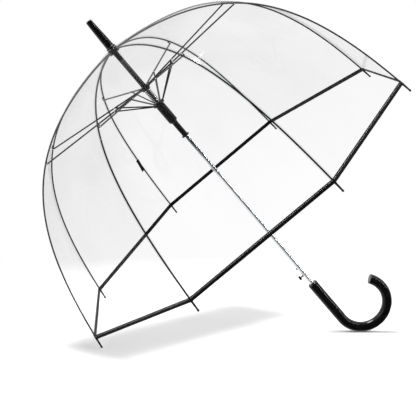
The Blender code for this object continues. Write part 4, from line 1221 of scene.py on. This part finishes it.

# %% [markdown]
# ## The clear canopy
# The real canopy is eight gores of clear sheet, cut flat, welded to each other over the ribs, and stretched between
# them. A sheet pulled between two ribs is straight from rib to rib and curved only along them, so its shape needs
# no simulation: each row of points is a straight chord at one height. Low puckers near the welds and the crown
# come from a smooth noise of place, so they run on unbroken from sheet to sheet.
#
# A piece can follow one body or bend between two that share a joint, and the canopy hangs on sixteen. It is
# therefore built as half gores that meet edge to edge: left and right of each rib, above and below the knees.

# %% Canopy shape
FILM_LEAVES_CROWN = 0.08
HALF = SECTOR / 2
WELD_WIDTH = 0.0045
TAPE_WIDTH = 0.0080
PUCKER = 0.0011
WELD_FADE, SEAM_REST = 0.030, 0.006
COLUMNS = 14
CROWN_FILM_RADII, CROWN_FILM_LIFT, CROWN_FILM_STEPS = (0.0056, 0.0095, 0.0130), 0.0004, 10
UPPER_FILM_STEPS, LOWER_FILM_STEPS = 36, 56


def film_rows(start, end, count):
    """(radius, height, outward lean) along the film over a rib's seam, from one t to another."""
    rows = []
    for n in range(count + 1):
        t = start + (end - start) * n / count
        slope = rib_slope(t)
        normal = left_of(slope)
        place = rib_point(t) + normal * FILM_OFFSET
        rows.append((place.x, place.y, normal))
    return rows


def crown_rows():
    """The film's flat middle on the crown, and its run down to where it meets the ribs."""
    top = CROWN_TOP + CROWN_FILM_LIFT
    first = film_rows(FILM_LEAVES_CROWN, FILM_LEAVES_CROWN + 0.01, 1)[0]
    edge = CROWN_FILM_RADII[-1]
    rows = [(radius, top, Vector((0, 1))) for radius in CROWN_FILM_RADII]
    for n in range(1, CROWN_FILM_STEPS):
        w = n / CROWN_FILM_STEPS
        rows.append((edge + (first[0] - edge) * w, top + (first[1] - top) * w, first[2]))
    return rows


UPPER_ROWS = crown_rows() + film_rows(FILM_LEAVES_CROWN, KNEE_T, UPPER_FILM_STEPS)
LOWER_ROWS = film_rows(KNEE_T, 1.0, LOWER_FILM_STEPS)


def chord_point(radius, height, share, side, azimuth):
    """A point on the film: share runs from 0 on the rib's seam to 1 at the middle of the panel beside it."""
    edge = radius * math.cos(HALF)
    seam = Vector((radius, 0, lift(height)))
    middle = Vector((edge * math.cos(HALF), side * edge * math.sin(HALF), lift(height)))
    return Matrix.Rotation(azimuth, 3, "Z") @ seam.lerp(middle, share)


def pucker(point, share, radius):
    """How far the film stands out at a place: nothing on the seams, low soft folds beside them."""
    near_weld = math.exp(-share * radius * math.sin(HALF) / WELD_FADE)
    fold = 0.5 + 0.5 * noise.noise(Vector((point.x * 34, point.y * 34, point.z * 14)))
    slow = 0.5 + 0.5 * noise.noise(Vector((point.x * 11, point.y * 11, point.z * 9 + 4)))
    rise = min(1.0, share * radius * math.sin(HALF) / SEAM_REST)
    return PUCKER * rise * (0.7 * near_weld * fold + 0.8 * slow * min(1.0, share * 3))


def film_point(row, share, side, azimuth, extra=0.0):
    """A point of the finished film, with its pucker; extra stands off the film along its outward normal."""
    radius, height, lean = row
    flat = chord_point(radius, height, share, side, azimuth)
    facing = azimuth + side * HALF
    outward = Vector((lean.x * math.cos(facing), lean.x * math.sin(facing), lean.y)).normalized()
    calm = min(1.0, max(0.0, radius - 0.02) / 0.03) * min(1.0, height / 0.02 if height > 0 else 0.0)
    return flat + outward * (pucker(flat, share, radius) * calm + extra)


def half_gore(rows, side, azimuth):
    """One half gore as a single sheet; its column beside the rib is the weld."""
    bm = bmesh.new()
    grid = []
    for row in rows:
        half_chord = row[0] * math.sin(HALF)
        weld = min(WELD_WIDTH / half_chord, 0.5)
        shares = [0.0, weld] + [weld + (1 - weld) * n / COLUMNS for n in range(1, COLUMNS + 1)]
        grid.append([bm.verts.new(film_point(row, s, side, azimuth)) for s in shares])
    for one, two in zip(grid, grid[1:]):
        for c in range(len(one) - 1):
            corners = (one[c], two[c], two[c + 1], one[c + 1])
            face = bm.faces.new(corners if side > 0 else corners[::-1])
            face.material_index = 1 if c == 0 else 0
    return to_mesh(bm, "half_gore", CLEAR_FILM, FILM_WELD, closed=False)


def cut_size(rows):
    """(widest half chord, length along the middle, area) of a half gore as it was cut."""
    length = area = 0.0
    for one, two in zip(rows, rows[1:]):
        run = math.hypot((two[0] - one[0]) * math.cos(HALF), two[1] - one[1])
        length += run
        area += run * (one[0] + two[0]) / 2 * math.sin(HALF)
    return max(r for r, _, _ in rows) * math.sin(HALF), length, area


print("upper half gore cut", cut_size(UPPER_ROWS), "lower", cut_size(LOWER_ROWS))

# %% [markdown]
# ## Hanging the film
# Each half gore rides on its part of its rib and gets its own copy of its mesh, as each run of binding does below.


def gathers(piece):
    """Gives the piece its own copy of its mesh."""
    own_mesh(piece)


SIDE_NAMES = {1: "left", -1: "right"}
for half, rows in (("upper", UPPER_ROWS), ("lower", LOWER_ROWS)):
    width, length, area = cut_size(rows)
    for k in range(RIB_COUNT):
        for side, side_name in SIDE_NAMES.items():
            gore = keep_piece(f"film_{half}_{side_name}_{k + 1}", half_gore(rows, side, rib_azimuth(k)),
                              f"rib_{half}_{k + 1}", f"film_{half}_{k + 1}", 60)
            gathers(gore)

# %% [markdown]
# ## The rim's binding
# Black woven tape is folded over the film's edge and stitched through. Each run is straight between two tips. It is
# built as a thin closed band that wraps the film's last centimetre, with its own UV map in metres for the weave.
# The stitch tree lays short threads along a line two millimetres from the tape's upper edge, on its outer side.

# %% Binding
TAPE_STAND, TAPE_FOLD, TAPE_RUNS = 0.00045, 0.0006, 24
TAPE_WAVER = 0.00018
STITCH_INSET, STITCH_SPACING, STITCH_LENGTH, THREAD_RADIUS = 0.0022, 0.0036, 0.0013, 0.00028


def rim_rows(reach, count):
    """Film rows over the last stretch before the rim, rim row last."""
    start = 1.0
    while (rib_point(start) - rib_point(1.0)).length < reach:
        start -= 0.0005
    return film_rows(start, 1.0, count)


def tape_mesh(side, azimuth):
    """A folded band over the rim from one rib corner to the panel's middle."""
    rows = rim_rows(TAPE_WIDTH, 3)
    bm = bmesh.new()
    uv = bm.loops.layers.uv.new("tape")
    radius, height, lean = rows[-1]
    along_rim = left_of(lean) * -1
    past = (radius + along_rim.x * TAPE_FOLD, height + along_rim.y * TAPE_FOLD, lean)
    loop = [(row, TAPE_STAND) for row in rows] + [(past, 0.0)] + [(row, -TAPE_STAND) for row in reversed(rows)]
    rings, lengths = [], []
    for n in range(TAPE_RUNS + 1):
        share = n / TAPE_RUNS
        wave = TAPE_WAVER * math.sin(share * 39.0 + azimuth * 7) if 0 < n < TAPE_RUNS else 0.0
        rings.append([bm.verts.new(film_point(row, share, side, azimuth, stand + wave)) for row, stand in loop])
        lengths.append(share * RIM_RADIUS * math.sin(HALF))
    count = len(loop)
    around = [TAPE_WIDTH * i / (len(rows) - 1) for i in range(count)]
    for i, (one, two) in enumerate(zip(rings, rings[1:])):
        for c in range(count):
            after = (c + 1) % count
            corners = [(one[c], lengths[i], around[c]), (two[c], lengths[i + 1], around[c]),
                       (two[after], lengths[i + 1], around[after]), (one[after], lengths[i], around[after])]
            face = bm.faces.new([v for v, _, _ in corners])
            for loop_corner, (_, u, v) in zip(face.loops, corners):
                loop_corner[uv].uv = (u, v)
    bm.faces.new(rings[0])
    bm.faces.new(rings[-1])
    return to_mesh(bm, "tape", TAPE)


def stitch_line(side, azimuth):
    """Threads in a row along one band's outer side."""
    row = rim_rows(TAPE_WIDTH - STITCH_INSET, 1)[0]
    points = [film_point(row, 0.02 + 0.97 * n / TAPE_RUNS, side, azimuth, TAPE_STAND + 0.0001)
              for n in range(TAPE_RUNS + 1)]
    return grow(STITCH_TREE, line_mesh(points), spacing=STITCH_SPACING, length=STITCH_LENGTH,
                thread_radius=THREAD_RADIUS, material=THREAD)


for k in range(RIB_COUNT):
    for side, side_name in SIDE_NAMES.items():
        azimuth = rib_azimuth(k)
        binding = keep_piece(f"rim_tape_{side_name}_{k + 1}", joined(tape_mesh(side, azimuth),
                             stitch_line(side, azimuth)), f"rib_lower_{k + 1}", None, 50)
        gathers(binding)
print("binding faces each", len(binding.data.polygons))

# %% [markdown]
# ## The tie strap
# A short woven strap hangs outside one seam and goes round the shut umbrella. It is a band with a folded hem, and a
# pressed snap stud near its free end. The band is swept down from where it is sewn on.

# %% Strap
STRAP_RIB = 2
STRAP_LENGTH, STRAP_WIDTH, STRAP_THICKNESS, STRAP_TOP = 0.038, 0.0075, 0.0010, 0.150
STRAP_STAND, STRAP_SPLAY, STRAP_CURL = 0.0011, 0.10, 0.16
HEM_RISE, HEM_SHARE = 0.00035, 0.14


def strap_mesh():
    """A band with a hem at each end, swept down and out from where it is sewn on, and its snap stud."""
    low, high = KNEE_T, 1.0
    for _ in range(50):
        middle = (low + high) / 2
        low, high = (middle, high) if rib_point(middle).y > STRAP_TOP else (low, middle)
    slope = rib_slope(low)
    start = rib_point(low) + left_of(slope) * (FILM_OFFSET + STRAP_STAND)
    steps, columns = 20, 8
    bm = bmesh.new()
    uv = bm.loops.layers.uv.new("tape")
    rings = []
    point = start
    for n in range(steps + 1):
        share = n / steps
        down = (slope + Vector((STRAP_SPLAY + STRAP_CURL * math.sin(share * 2.6), 0))).normalized()
        face = left_of(down)
        hem = HEM_RISE if share < HEM_SHARE or share > 1 - HEM_SHARE else 0.0
        across = [-STRAP_WIDTH / 2 + STRAP_WIDTH * c / columns for c in range(columns + 1)]
        outer = [in_plane(point + face * (STRAP_THICKNESS + hem - 0.0002 * (abs(y) > 0.0036)), y)
                 for y in across]
        inner = [in_plane(point, y) for y in reversed(across)]
        rings.append([bm.verts.new(p) for p in outer + inner])
        point = point + down * STRAP_LENGTH / steps
    count = len(rings[0])
    for i, (one, two) in enumerate(zip(rings, rings[1:])):
        for c in range(count):
            after = (c + 1) % count
            face = bm.faces.new((one[c], one[after], two[after], two[c]))
            for corner, (u, v) in zip(face.loops, ((c, i), (c + 1, i), (c + 1, i + 1), (c, i + 1))):
                corner[uv].uv = (STRAP_WIDTH * u / columns, STRAP_LENGTH * v / steps)
    bm.faces.new(rings[0])
    bm.faces.new(rings[-1])
    end = point - slope * 0.006
    stud = lathe_along([(0.0010, 0.0030), (0.0016, 0.0030), (0.0021, 0.0026), (0.0022, 0.0016), (0.0019, 0.0008),
                        (0.0019, 0.0001)], in_plane(end), direction_in_plane(left_of(slope)), 24)
    return joined(to_mesh(bm, "strap", STRAP), to_mesh(stud, "stud", NICKEL))


strap = keep_piece("tie_strap_band", turned_to(strap_mesh(), rib_azimuth(STRAP_RIB)), f"rib_lower_{STRAP_RIB + 1}",
                   "tie_strap")
print("strap faces", len(strap.data.polygons))
